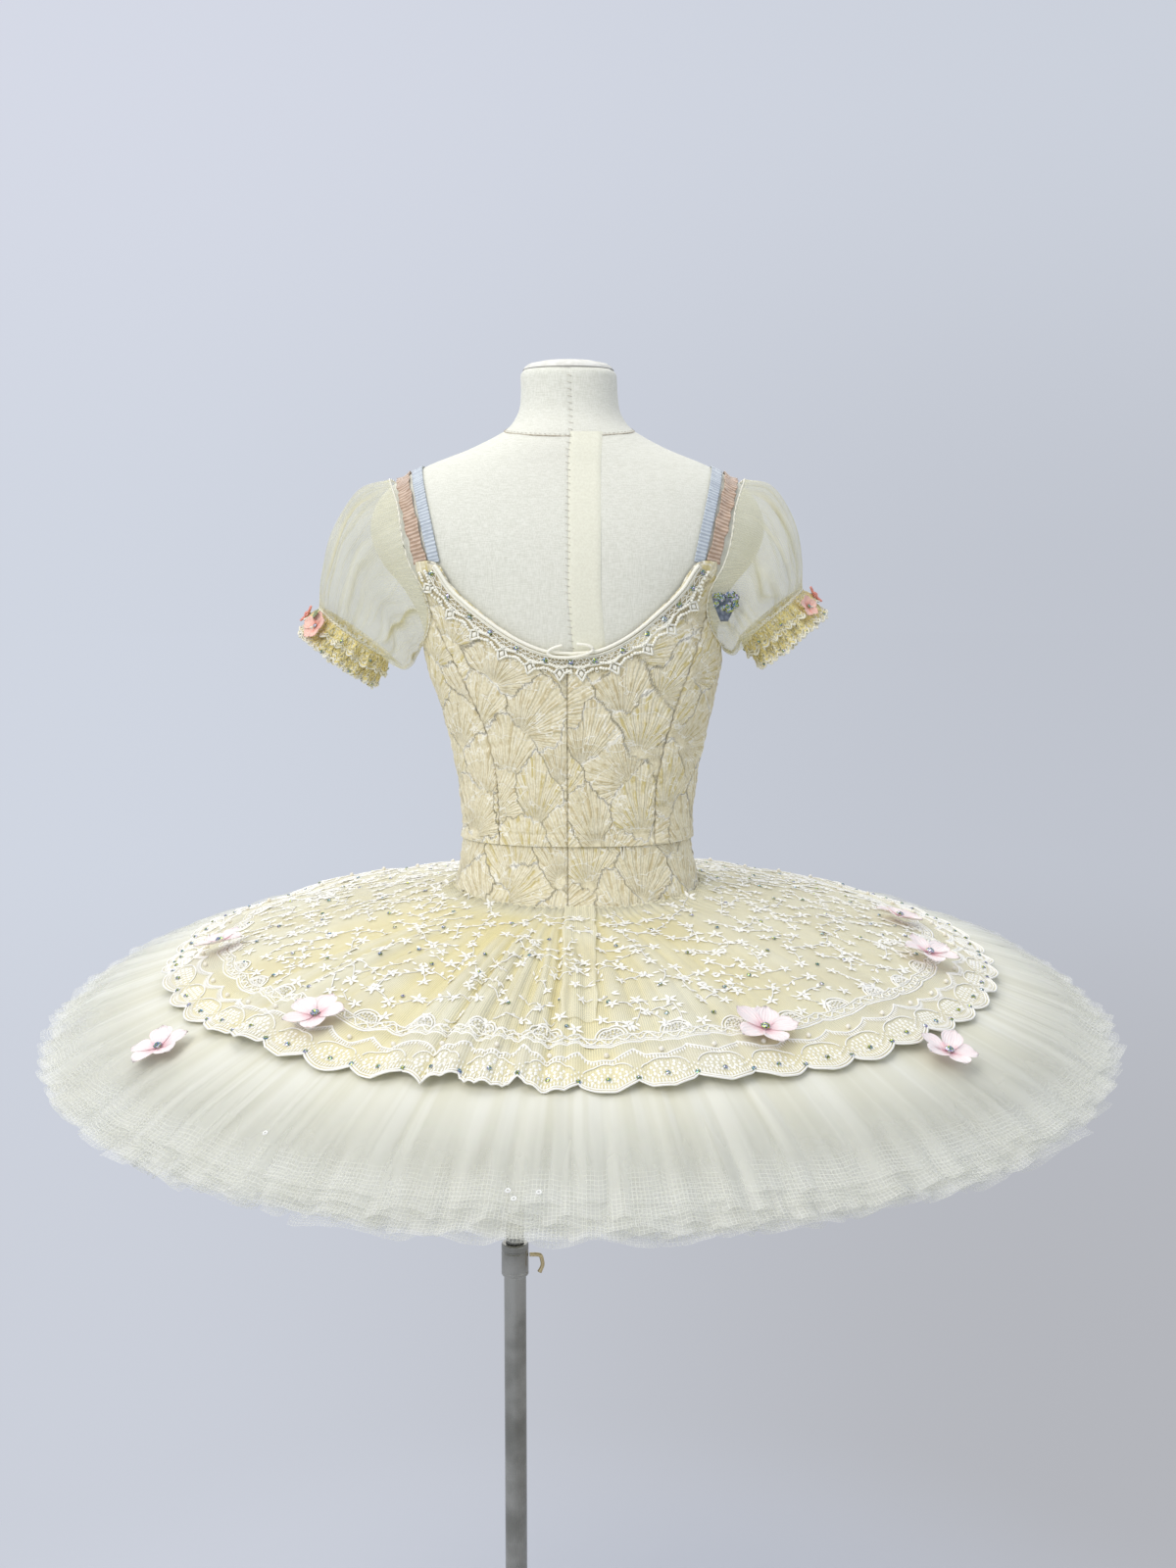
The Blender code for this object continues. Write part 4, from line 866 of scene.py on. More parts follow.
def build_tulle():
    shades = {
        "tulle_top": tulle_shade("tulle_upper", 0.08, 0.74),
        "tulle_second": tulle_shade("tulle_middle", 0.05, 0.78),
        "tulle_third": tulle_shade("tulle_lower", 0.04, 0.80),
    }
    done = set()
    for layer, (node, rim, under_seam, under_rim, pleats, high, lobe) in enumerate(TULLE):
        count = 1140 if layer < 3 else 660
        a = circle(count)
        r0 = waist_reach(a, seam_z(a) - under_seam, SEAM_OUT + 0.0006)
        level = 0.0030 * waves(a * 6, 140 + layer) + 0.0014 * waves(a * 17, 150 + layer)
        level = level * (0.5 if layer == 0 else 1.0)
        broad, narrow = waves(a * 30, 160 + layer), waves(a * 110, 170 + layer)
        streaks = smooth(broad, -0.7, 1.0) + 0.5 * smooth(narrow, 0.3, 1.0)
        grid, share, dense = [], [], []
        for t in TULLE_ROWS:
            turn = a + 0.018 * (1 - t) * waves(a * 8, 40 + layer) + 0.004 * np.sin(9 * t + 5 * a)
            fold, round_lobe, out = pleat_profile(turn, pleats, 60 + layer)
            minor, _, _ = pleat_profile(turn, pleats * 3, 90 + layer)
            r = r0 + (rim - r0) * t
            grow = smooth(t, 0.80, 1.0)
            r = r + grow * lobe * (0.9 * round_lobe - 0.60 + 0.45 * out)
            r = r + 0.0008 * grow * waves(a * 60, 90 + layer)
            z = plate_z(np.minimum(r, rim), a, under_seam, under_rim)
            tall = 0.0006 + (high - 0.0006) * (0.35 * t**1.5 + 0.65 * grow)
            z = z + tall * (1.5 * fold - 0.6 + 0.15 * minor) + level * t**2
            droop = (0.009 - 0.0007 * layer) * smooth(t, 0.88, 1.0) ** 2
            z = z - 0.003 * grow * (1 - round_lobe) - droop
            grid.append(polar(r, a, z))
            share.append(np.full(count, t))
            crest = smooth(np.abs(np.gradient(fold)) * 9, 0.55, 1.2) * smooth(t, 0.35, 0.9)
            dense.append(np.clip(0.75 * streaks * smooth(t, 0.1, 0.4) * (1 - 0.6 * grow) + 0.6 * crest, 0, 1))
        flat = xyz(a * 0.45, np.array(share) * 0.36, 0.0)
        b = Batch()
        b.grid(np.array(grid), ring=True, share=np.array(share), dense=np.array(dense), flat=flat)
        nodes = () if node in done else [node]
        done.add(node)
        b.build(f"net_{layer + 1}", shades[node], "tulle", nodes, TULLE_CUT, "gathered", ["basque_front"])


def embroidery_shade(name="embroidery_thread", low=(0.96, 0.93, 0.82), high=(1.0, 0.99, 0.94)):
    s = Shade(name, 0.55, Sheen_Weight=0.3)
    grain = s.noise(s.place(), 1300.0, 2.0)
    s.set("Base Color", s.mix(s.ramp(grain, 0.25, 0.6), low, high))
    s.bump(grain, 0.0004, 0.5)
    return s.material


def crystal_shade():
    """Iridescent stones: their facets turn between dark foil, green gold, blue, violet and white."""
    s = Shade("iridescent_crystal", 0.05, Metallic=0.9)
    ramp = s.tree.nodes.new("ShaderNodeValToRGB")
    ramp.color_ramp.interpolation = "CONSTANT"
    stops = (
        (0.0, (0.05, 0.06, 0.07)),
        (0.34, (0.62, 0.62, 0.10)),
        (0.43, (0.16, 0.36, 0.34)),
        (0.50, (0.10, 0.14, 0.34)),
        (0.56, (0.90, 0.90, 0.88)),
        (0.64, (0.36, 0.28, 0.58)),
        (0.72, (0.10, 0.11, 0.10)),
    )
    elements = ramp.color_ramp.elements
    while len(elements) < len(stops):
        elements.new(0.5)
    for element, (at, colour) in zip(elements, stops):
        element.position, element.color = at, (*colour, 1.0)
    spread = s.noise(s.vector("ADD", s.place(), s.scaled(s.triple("turn"), 1.0, 1.0)), 480.0, 1.0)
    s.put(ramp.inputs[0], spread)
    s.set("Base Color", ramp.outputs[0])
    return s.material


def leaf(points=6, arch=0.28):
    """A pointed raised leaf, 1 long and 1 wide, lying along its second direction."""
    along = np.linspace(0, 1, points)
    half = 0.5 * np.sin(math.pi * along**0.8)
    ridge = arch * np.sin(math.pi * along)
    rows = np.stack([xyz(-half, along, 0.0), xyz(0.0, along, ridge), xyz(half, along, 0.0)], 1)
    corners = [i * 3 + j for i in range(points - 1) for j in range(2)]
    return rows.reshape(-1, 3), [(k + 1, k + 4, k + 3, k) for k in corners]


def scallop(angle, many, power=0.8):
    """A scalloped edge's swing, from -0.5 in the notches to 0.5."""
    return np.abs(np.sin(many * angle / 2)) ** power - 0.5


def overlay_net_shade():
    s = Shade("overlay_net", 0.7, Sheen_Weight=0.2, Subsurface_Weight=0.1)
    s.base.inputs["Subsurface Radius"].default_value = (0.004, 0.004, 0.003)
    net = s.mesh(s.triple("flat"), 1 / 0.0017, 0.25)
    low, lace = s.value("valley"), s.value("lace")
    cover = s.plus(0.62, s.times(lace, 0.28))
    s.set("Alpha", s.most(s.ramp(net, 0.2, 0.06), cover))
    tone = s.noise(s.place(), 16.0, 2.0)
    cream = s.mix(s.ramp(tone, 0.3, 0.7), (0.80, 0.75, 0.53), (0.88, 0.85, 0.66))
    cream = s.mix(lace, cream, s.mix(s.ramp(net, 0.05, 0.3), (0.80, 0.77, 0.61), (0.66, 0.61, 0.42)))
    # painted shade: the low fold valleys turn a deeper, darker yellow
    s.set("Base Color", s.mix(low, cream, (0.90, 0.79, 0.36)))
    return s.material


def build_overlays():
    thread = embroidery_shade()
    a = circle(OVERLAY_COLUMNS)
    r0 = waist_reach(a, seam_z(a) - UNDER_SEAM / 2, 0.0019)
    layers = (
        # node, level, lace width, slot, flat size
        ("overlay_under", 0, 0.036, "scalloped_lace", (1.6, 0.28)),
        ("overlay_top", 1, 0.011, "embroidered_tulle", (1.6, 0.23)),
    )
    for node, level, wide, slot, cut in layers:
        rim, scallops, depth = RIMS[level]
        grid, valley, lace = [], [], []
        if level:
            for up, out in ((0.0055, 0.0022), (0.0030, 0.0034)):
                high = seam_z(a) + up + 0.0012 * waves(a * 50, 19)
                grid.append(polar(waist_reach(a, high, out + 0.0008 * np.sin(150 * a)), a, high))
                # the gathered rows under the basque get an even slight touch of the painted fold shade
                valley.append(0.1 + 0 * a)
                lace.append(0.3 + 0 * a)
        for t in np.linspace(0, 1, 25) ** 0.9:
            r = r0 + (rim - r0) * t
            r = r + smooth(t, 0.86, 1.0) * depth * scallop(a, scallops)
            z = overlay_z(r, a, level)
            plain = plate_z(r, a, UNDER_SEAM) + pleat_height(r, a) + 0.0022
            grid.append(polar(r, a, z))
            # painted shade: deeper yellow in the low fold valleys, strongest on the side with the big folds
            deep = 0.25 + 0.75 * smooth(np.cos(a - math.radians(68)), 0.2, 1.0)
            low = smooth(0.0050 - (z - plain) + level * 0.0014, 0.0, 0.006)
            valley.append(low * deep * (0.95 - 0.55 * t) * smooth(t, 0.0, 0.1))
            lace.append(smooth(r - rim + wide, -0.004, 0.002))
        flat = xyz(a * 0.3, np.linspace(0, 0.3, len(grid))[:, None], 0.0)
        b = Batch()
        b.grid(np.array(grid), ring=True, flat=flat, valley=np.array(valley), lace=np.array(lace))
        b.build(f"{node}_net", net_shade, slot, [node], cut, "gathered", ["net_1"])
    build_top_embroidery(thread)
    build_top_border(thread)
    build_lace_border(thread)
    build_placket()


def on_top(x, y, lift):
    """Places of the upper overlay or of the placket that lies on it, with their normals."""
    radius, angle = np.hypot(x, y), np.arctan2(y, x)
    p, n = slopes(overlay_z, radius, angle, 1)
    raised = smooth(PLACKET_HALF - np.abs(x), 0.0, 0.002) * (y > 0) * smooth(PLACKET_END - y, 0.0, 0.004)
    p[..., 2] += 0.0026 * raised
    return p + n * lift, n


STARS, STAR_SPACING = 500, 0.0198
STAR_REACH, VINE_REACH = (0.116, 0.328), (0.112, 0.330)  # nearest and furthest from the axis
VINE_STEP = 0.0036


def build_top_embroidery(thread):
    """Vines with small leaves and star flowers all over the upper overlay."""
    r = np.random.default_rng(5)
    b = Batch()
    starts, paths, leaves, stars = [], [], [], []
    tries, (near, far) = 0, STAR_REACH
    while len(starts) < STARS and tries < 14000:
        tries += 1
        radius, angle = math.sqrt(r.uniform(near**2, far**2)), r.uniform(0, TAU)
        x, y = radius * math.cos(angle), radius * math.sin(angle)
        if all((x - u) ** 2 + (y - v) ** 2 > STAR_SPACING**2 for u, v in starts):
            starts.append((x, y))
    for x, y in starts:
        heading, bend = r.uniform(0, TAU), r.uniform(-28, 28)
        stars.append((x, y, r.uniform(0, TAU), r.uniform(0.0064, 0.0084)))
        path = []
        px, py = x + 0.005 * math.cos(heading), y + 0.005 * math.sin(heading)
        for k in range(r.integers(5, 10)):
            path.append((px, py))
            bend += r.uniform(-16, 16)
            heading += bend * VINE_STEP
            px, py = px + VINE_STEP * math.cos(heading), py + VINE_STEP * math.sin(heading)
            if not VINE_REACH[0] < math.hypot(px, py) < VINE_REACH[1]:
                break
            if k % 2 == 1:
                side = 1 if (k // 2) % 2 else -1
                leaves.append((px, py, heading + side * 0.9, r.uniform(0.0060, 0.0088)))
        if len(path) > 2:
            paths.append(np.array(path))
            leaves.append((px, py, heading, 0.0070))
    for path in paths:
        p, _ = on_top(path[:, 0], path[:, 1], 0.0007)
        b.tube(p, 0.0007, 3)
    stars, leaves = np.array(stars), np.array(leaves)

    def lay(places, direction, lift):
        p, n = on_top(places[:, 0], places[:, 1], lift)
        return p, frames_on(n, np.stack([np.cos(direction), np.sin(direction), np.zeros(len(places))], -1))

    p, axes = lay(leaves, leaves[:, 2], 0.0007)
    size = leaves[:, 3]
    b.place(leaf(4), p, axes, np.stack([size * 0.40, size, size * 0.3], -1))
    for k in range(5):
        p, axes = lay(stars, stars[:, 2] + k * TAU / 5, 0.0010)
        size = stars[:, 3]
        b.place(leaf(4), p, axes, np.stack([size * 0.40, size, size * 0.3], -1))
    p, axes = lay(stars, stars[:, 2], 0.0013)
    b.place(ball(2, 5), p, axes, 0.0011)
    b.build("overlay_top_embroidery", thread, "embroidered_tulle")


def on_skirt(r, a, level, lift):
    """Places on an overlay, lifted off it, with their frames."""
    p, n = slopes(overlay_z, r, a, level)
    return p + n * lift, frames_on(n)


def along_rim(level, offset, a, lift=0.0004):
    """Points that follow a scalloped rim, offset inwards by a distance."""
    rim, scallops, depth = RIMS[level]
    return on_skirt(rim + depth * scallop(a, scallops) - offset, a, level, lift)[0]


def build_top_border(thread):
    """The upper overlay's narrow wavy lace edge with dotted arches."""
    b = Batch()
    scallops, depth = TOP_SCALLOPS, TOP_DEPTH
    a = circle(960)
    for offset, radius in ((0.0002, 0.0011), (0.0028, 0.0007), (0.0105, 0.0009)):
        b.loop(along_rim(1, offset, a), radius, 3)
    swing = 0.0062 + 0.0026 * np.sin(a * 160)
    b.loop(along_rim(1, swing, a, 0.0009), 0.0008, 4)
    dots = circle(640)
    for shift, offset in ((0.0, 0.0045), (0.5, 0.0080)):
        turn = dots + shift * TAU / 640
        r = TOP_RADIUS + depth * scallop(turn, scallops, 1.0) - offset
        b.place(ball(2, 5), *on_skirt(r, turn, 1, 0.0007), 0.0010)
    for k in range(scallops):
        middle = (k + 0.5) / scallops * TAU
        arch = np.linspace(0, math.pi, 16)
        for size in (0.0135, 0.0105):
            r = TOP_RADIUS - 0.0085 - size * 0.95 * np.sin(arch)
            turn = middle + size * np.cos(arch) / TOP_RADIUS
            b.tube(on_skirt(r, turn, 1, 0.0008)[0], 0.0009, 4)
        for ring, many in ((0.0076, 7), (0.0048, 5), (0.0020, 3)):
            t = np.linspace(0.15, math.pi - 0.15, many)
            r = TOP_RADIUS - 0.0095 - ring * np.sin(t)
            turn = middle + ring * np.cos(t) / TOP_RADIUS
            b.place(ball(2, 5), *on_skirt(r, turn, 1, 0.0008), 0.0015)
    b.build("overlay_top_border", thread, "embroidered_tulle")


OVAL_ROWS = (
    # distance inside the rim, dots, half width
    (0.0125, 6, 0.0125),
    (0.0158, 7, 0.0150),
    (0.0192, 7, 0.0150),
    (0.0225, 6, 0.0120),
    (0.0255, 4, 0.0080),
)


def build_lace_border(thread):
    """The lower overlay's wide scalloped lace: corded edge, comb stitches and dotted ovals."""
    b = Batch()
    scallops, depth = LACE_SCALLOPS, LACE_DEPTH
    a = circle(OVERLAY_COLUMNS)
    for offset, radius in ((0.0003, 0.0010), (0.0030, 0.0008), (0.0340, 0.0009)):
        b.loop(along_rim(0, offset, a), radius, 4)
    many = scallops * 18
    turn = circle(many)
    for start, length in ((0.0034, 0.0056), (0.0285, 0.0062), (0.0105, 0.0030)):
        ends = []
        for k in (0.0, 1.0):
            r = LACE_RADIUS + depth * scallop(turn, scallops) - start - length * k
            p, n = slopes(overlay_z, r, turn, 0)
            ends.append(p + n * 0.0006)
        ahead = ends[1] - ends[0]
        size = np.linalg.norm(ahead, axis=1)
        b.place(leaf(3, 0.4), ends[0], frames_on(n, ahead), xyz(0.0018, size, 0.0012))
    oval = []
    for offset, dots, reach_out in OVAL_ROWS:
        oval += [(offset, (k / (dots - 1) * 2 - 1) * reach_out) for k in range(dots)]
    cluster = np.array(oval)
    for k in range(scallops):
        middle = (k + 0.5) / scallops * TAU
        r = LACE_RADIUS + depth * 0.5 - cluster[:, 0]
        t = middle + cluster[:, 1] / LACE_RADIUS
        p, n = slopes(overlay_z, r, t, 0)
        out = polar(1.0, t, 0.0)
        b.place(leaf(4, 0.35), p + n * 0.0006 - out * 0.0018, frames_on(n, out), [[0.0032, 0.0042, 0.0030]])
        curve = np.linspace(0.15, math.pi - 0.15, 18)
        r = LACE_RADIUS + depth * 0.5 - 0.0200 - 0.0098 * np.sin(curve)
        turn_to = middle + 0.0205 * np.cos(curve) / LACE_RADIUS
        b.tube(on_skirt(r, turn_to, 0, 0.0006)[0], 0.0007, 4)
    b.build("overlay_under_lace", thread, "scalloped_lace")


def build_placket():
    """The soft strip that covers the opening down the back of the overlays."""
    y = np.linspace(PLACKET_START, PLACKET_END, 80)[:, None]
    w = np.linspace(-1, 1, 21)[None, :]
    x = w * (PLACKET_HALF + 0.0012 * waves(y * 55, 14))
    fold = 0.0012 * bell(np.abs(w) - 0.86, 0.10)
    fold = fold + 0.0016 * waves(y * 42, 12) * w**2 + 0.0008 * waves(y * 90 + w, 13)
    end = smooth(PLACKET_END - y, 0.0, 0.012)
    z = overlay_z(np.hypot(x, y), np.arctan2(y, x), 1) + 0.0006 + (0.0016 + fold) * end
    grid = xyz(x, y, z)
    b = Batch()
    lace = 0.45 * bell(np.abs(w) - 0.93, 0.07) + 0 * z
    # the placket gets an even slight touch of the same painted fold shade
    b.grid(grid, flip=True, flat=xyz(x, y, 0 * z), valley=0.12 + 0 * z, lace=lace)
    name, size, below = "overlay_placket", (0.032, 0.215), ["overlay_top_net"]
    b.build(f"{name}_cloth", net_shade, "placket", [name], size, "laid", below)


PETALS = 5


def petal_flower(b, place, axes, radius, seed, cup=0.20, width=0.72):
    """Petals round a heart; each is a rounded cupped blade with a curled tip."""
    r = np.random.default_rng(seed)
    along = np.linspace(0.0, 1.0, 13)[:, None] ** 0.8
    across = np.linspace(-1, 1, 9)[None, :]
    for k in range(PETALS):
        half = width * 0.5 * np.sin(math.pi * (0.04 + 0.96 * along) ** 1.45) ** 0.62
        half = half * (0.95 + 0.1 * r.uniform()) + 0.02
        x = across * half
        y = 0.05 + 0.95 * along - 0.05 * across**2 * along**2
        curl = r.uniform(-0.10, 0.12)
        z = cup * (y**1.6) * 0.8 + 0.26 * across**2 * half - curl * along**3
        z = z + 0.03 * np.sin(7 * across + 5 * along) * along + 0.05 * (k % 2) * along
        turn = k * TAU / PETALS + r.uniform(-0.07, 0.07)
        c, s = math.cos(turn), math.sin(turn)
        local = np.stack([x * c - y * s, x * s + y * c, z], -1) * radius
        world = place + local @ axes
        b.grid(world, petal=along + 0 * across, vein=across + 0 * along)


def petal_shade(name, heart, edge, deep=0.4):
    s = Shade(name, 0.55, Sheen_Weight=0.3, Subsurface_Weight=0.15)
    s.base.inputs["Subsurface Radius"].default_value = (0.004, 0.002, 0.002)
    far, vein = s.value("petal"), s.value("vein")
    line = s.cosine(s.times(vein, 26.0))
    tone = s.plus(far, s.times(s.noise(s.place(), 260.0), 0.25))
    colour = s.mix(s.ramp(tone, 0.05, deep + 0.35), heart, edge)
    s.set("Base Color", s.mix(s.times(s.ramp(line, 0.4, 1.0), 0.10), colour, heart))
    s.bump(line, 0.0003, 0.5)
    return s.material


def cloth_top(r, a):
    """Height of whatever cloth lies at a place on the skirt."""
    net = plate_z(r, a, UNDER_SEAM) + pleat_height(r, a)
    return np.where(r < TOP_RADIUS, overlay_z(r, a, 1), np.where(r < LACE_RADIUS, overlay_z(r, a, 0), net))


def build_flowers(stones):
    pink = petal_shade("pink_petals", (0.90, 0.46, 0.52), (0.98, 0.87, 0.85), 0.25)
    for k, (name, radius, azimuth, turn, size) in enumerate(SKIRT_FLOWERS):
        a = math.radians(azimuth)
        size = FLOWER_RADIUS * size
        t, ring = circle(16), size * 0.75
        x = radius * math.cos(a) + ring * np.cos(t)
        y = radius * math.sin(a) + ring * np.sin(t)
        z = cloth_top(np.hypot(x, y), np.arctan2(y, x))
        tilt_x, tilt_y = (2 / 16 * (z * swing).sum() / ring for swing in (np.cos(t), np.sin(t)))
        normal = unit(np.array([-tilt_x, -tilt_y, 1.0]))
        node, below = f"skirt_flower_{name}", ["overlay_under_net"]
        low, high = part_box(node)
        place = np.array([radius * math.cos(a), radius * math.sin(a), (low[2] + high[2]) / 2 - 0.0005])
        outward = frames_on(normal[None], (math.cos(a), math.sin(a), 0.0))
        axes = turned(outward, np.array([math.radians(turn)]))[0]
        b = Batch()
        petal_flower(b, place, axes, size, 200 + k)
        b.build(f"{node}_petals", pink, "pink_flower", [node], (0.055, 0.055), "laid", below, area=0.0021)
        stones.append((place + normal * 0.0024, axes, 0.0042))


SEQUINS = ((0.4750, 60.0), (0.4940, 84.2), (0.4945, 86.8), (0.5010, 84.8))  # distance, azimuth
SEQUIN_RADIUS = 0.0016


def build_sequins():
    """Four loose ring sequins lying on the net, as in the photo."""
    b = Batch()
    t = circle(14)
    for r, azimuth in SEQUINS:
        a = math.radians(azimuth)
        x, y = r * math.cos(a) + SEQUIN_RADIUS * np.cos(t), r * math.sin(a) + SEQUIN_RADIUS * np.sin(t)
        z = cloth_top(np.hypot(x, y), np.arctan2(y, x)) + 0.0012 - 0.006 * smooth(r, 0.475, 0.495)
        b.loop(np.stack([x, y, z], -1), 0.00055, 5)
    b.build("ring_sequins", satin("sequin_ring", (0.93, 0.93, 0.90), (1.0, 1.0, 0.97)), "tulle")


CRYSTALS, CRYSTAL_SPACING, CRYSTAL_REACH = 110, 0.034, (0.14, 0.33)


def build_crystals(stones):
    """Stones glued along the lace and over the upper overlay, and in the flowers."""
    r = np.random.default_rng(9)
    scallops = LACE_SCALLOPS
    for k in range(scallops * 2):
        a = k / (scallops * 2) * TAU
        offset = 0.0095 if k % 2 else 0.0065
        stones.append((*on_skirt(LACE_RADIUS - offset, a, 0, 0.0010), 0.0023))
    spots = []
    near, far = CRYSTAL_REACH
    while len(spots) < CRYSTALS:
        radius, a = math.sqrt(r.uniform(near**2, far**2)), r.uniform(0, TAU)
        x, y = radius * math.cos(a), radius * math.sin(a)
        if all((x - u) ** 2 + (y - v) ** 2 > CRYSTAL_SPACING**2 for u, v in spots):
            spots.append((x, y))
            stones.append((*on_skirt(radius, a, 1, 0.0010), 0.0021))
    build_stones("skirt_crystals", "scalloped_lace", stones, 30)
    pearls = Batch()
    a = (np.arange(scallops) + 0.5) / scallops * TAU
    pearls.place(ball(6, 10), *on_skirt(LACE_RADIUS - 0.0345, a, 0, 0.0016), 0.0022)
    s = Shade("pearl", 0.22, Coat_Weight=0.5)
    s.mottle(200.0, 0.3, 0.7, (0.86, 0.80, 0.66), (0.94, 0.91, 0.84))
    pearls.build("lace_pearls", s.material, "scalloped_lace")


# ---------------------------------------------------------------- neckline, straps and small trims
LACE_OUT = 0.0047
STRAPS = (
    # name, half width, distance from the middle at the top, back and front, lift, ruffle, half waves
    ("blue", 0.0054, 0.1400, 0.1205, 0.1120, 0.0012, 0.0007, 34),
    ("rose", 0.0066, 0.1535, 0.1335, 0.1250, 0.0010, 0.0030, 17),
)
STRAP_END_Z = 1.2885
# places along the back neckline, from 1 at the left tip to -1 at the right one
NECK_STONES = (
    0.965, 0.846, 0.693, 0.55, 0.373, 0.184, 0.006,
    -0.158, -0.349, -0.535, -0.673, -0.793, -0.895, -0.970,
)
PENDANTS = (0.926, 0.783, 0.614, 0.434, 0.261, 0.085, -0.047, -0.255, -0.479, -0.659, -0.832)
CHAIN_REACH = 0.075  # half width of a pendant's own chains


def depth_inside(p):
    x = p[..., 0] - lean(p[..., 2])
    return np.hypot(x, p[..., 1]) - reach(np.arctan2(p[..., 1], x), p[..., 2])


def slope(p):
    h = 0.0005
    return np.stack([(depth_inside(p + d) - depth_inside(p - d)) / (2 * h) for d in np.eye(3) * h], -1)


def seated(p, out=0.0):
    """The nearest points of the form's surface, moved out square to it."""
    for _ in range(8):
        up = slope(p)
        p = p - up * (depth_inside(p) / (up**2).sum(-1))[..., None]
    return p + unit(slope(p)) * np.broadcast_to(out, p.shape[:-1])[..., None]


def neckline(s, drop, out):
    """Points of the back neckline, s from -1 (right tip) to 1 (left tip), drop below its edge."""
    s, drop = np.broadcast_arrays(np.asarray(s, float), drop)
    tip, step = BACK_NECK[-2][0], 0.01
    far = np.abs(s * tip)
    before, after = np.maximum(far - step, 0), np.minimum(far + step, tip)
    rise, run = blend(BACK_NECK, after, 1) - blend(BACK_NECK, before, 1), after - before
    long = np.hypot(rise, run)
    z = blend(BACK_NECK, far, 1) - run / long * drop
    x = s * tip + np.sign(s) * rise / long * drop
    return body(angle_at(x, z), z, out)


def neck_frames(s, drop, out):
    """Spots on the neckline with their frames: across, down and out."""
    spot = neckline(s, drop, out)
    down = neckline(s, np.asarray(drop) + 0.001, out) - spot
    return spot, frames_on(slope(spot), down)


def satin(name, low, high, roughness=0.42):
    s = Shade(name, roughness, Sheen_Weight=0.3)
    grain = s.noise(s.place(), 900.0, 2.0)
    s.set("Base Color", s.mix(s.ramp(grain, 0.3, 0.7), low, high))
    s.bump(grain, 0.0002, 0.5)
    return s.material


def build_stones(name, slot, stones, seed):
    r = np.random.default_rng(seed)
    place, axes, size = (np.array([s[k] for s in stones]) for k in range(3))
    b = Batch()
    turn = r.uniform(0, 9, (len(stones), 3))  # gives each stone colours of its own
    b.place(gem(), place, axes, xyz(size, size, size * 0.9), turn=turn)
    b.build(name, crystal, slot).data.shade_flat()


def lace_shadow_shade():
    """The net behind the beaded edging, darkened as painted shadow under the lace."""
    s = Shade("neck_lace_painted_shadow", 0.85)
    net = s.mesh(s.triple("flat"), 1 / 0.0016, 0.3)
    s.set("Alpha", s.most(s.ramp(net, 0.2, 0.08), 0.90))
    s.set("Base Color", s.mix(s.ramp(net, 0.05, 0.2), (0.66, 0.59, 0.40), (0.46, 0.39, 0.23)))
    return s.material


def build_neck_cords(white):
    """The double cord along the back neckline and the oval loop at the closure."""
    s = np.linspace(0.985, -0.985, 260)
    b = Batch()
    b.tube(neckline(s, 0.0006, LACE_OUT + 0.0012), 0.0017, 8)
    b.tube(neckline(s, 0.0036, LACE_OUT + 0.0006), 0.0009, 6)
    b.build("neck_piping", white, "cord", ["neck_cord"])
    b = Batch()
    turn = TAU * np.linspace(0.05, 0.95, 60)
    x = CLOSURE_X - 0.0072 + 0.0185 * np.sin(turn) - 0.003
    z = 1.2082 + 0.0058 * np.cos(turn) - 0.10 * (x - CLOSURE_X)
    b.tube(body(angle_at(x, z), z, LACE_OUT + 0.0042 + 0.0012 * np.sin(turn * 0.5)), 0.0015, 8)
    b.build("neck_loop_cord", white, "cord", ["neck_loop"])


def build_pendant(b, at):
    """A stone in a diamond of cord, hanging under the neckline."""
    spot, axes = neck_frames(np.array([at]), 0.0192, LACE_OUT - 0.0002)
    across, down, out = axes[0]
    b.place(gem(4), spot, axes, [[0.0024, 0.0036, 0.0018]])
    corner = np.array([(0.0, -1.0), (0.72, -0.1), (0.0, 1.05), (-0.72, -0.1)]) * 0.0066
    steps = np.linspace(0, 1, 5)[:-1, None]
    path = np.concatenate([corner[i] + (corner[(i + 1) % 4] - corner[i]) * steps for i in range(4)])
    b.loop(spot + path[:, :1] * across + path[:, 1:] * down + out * 0.0006, 0.0012, 4)


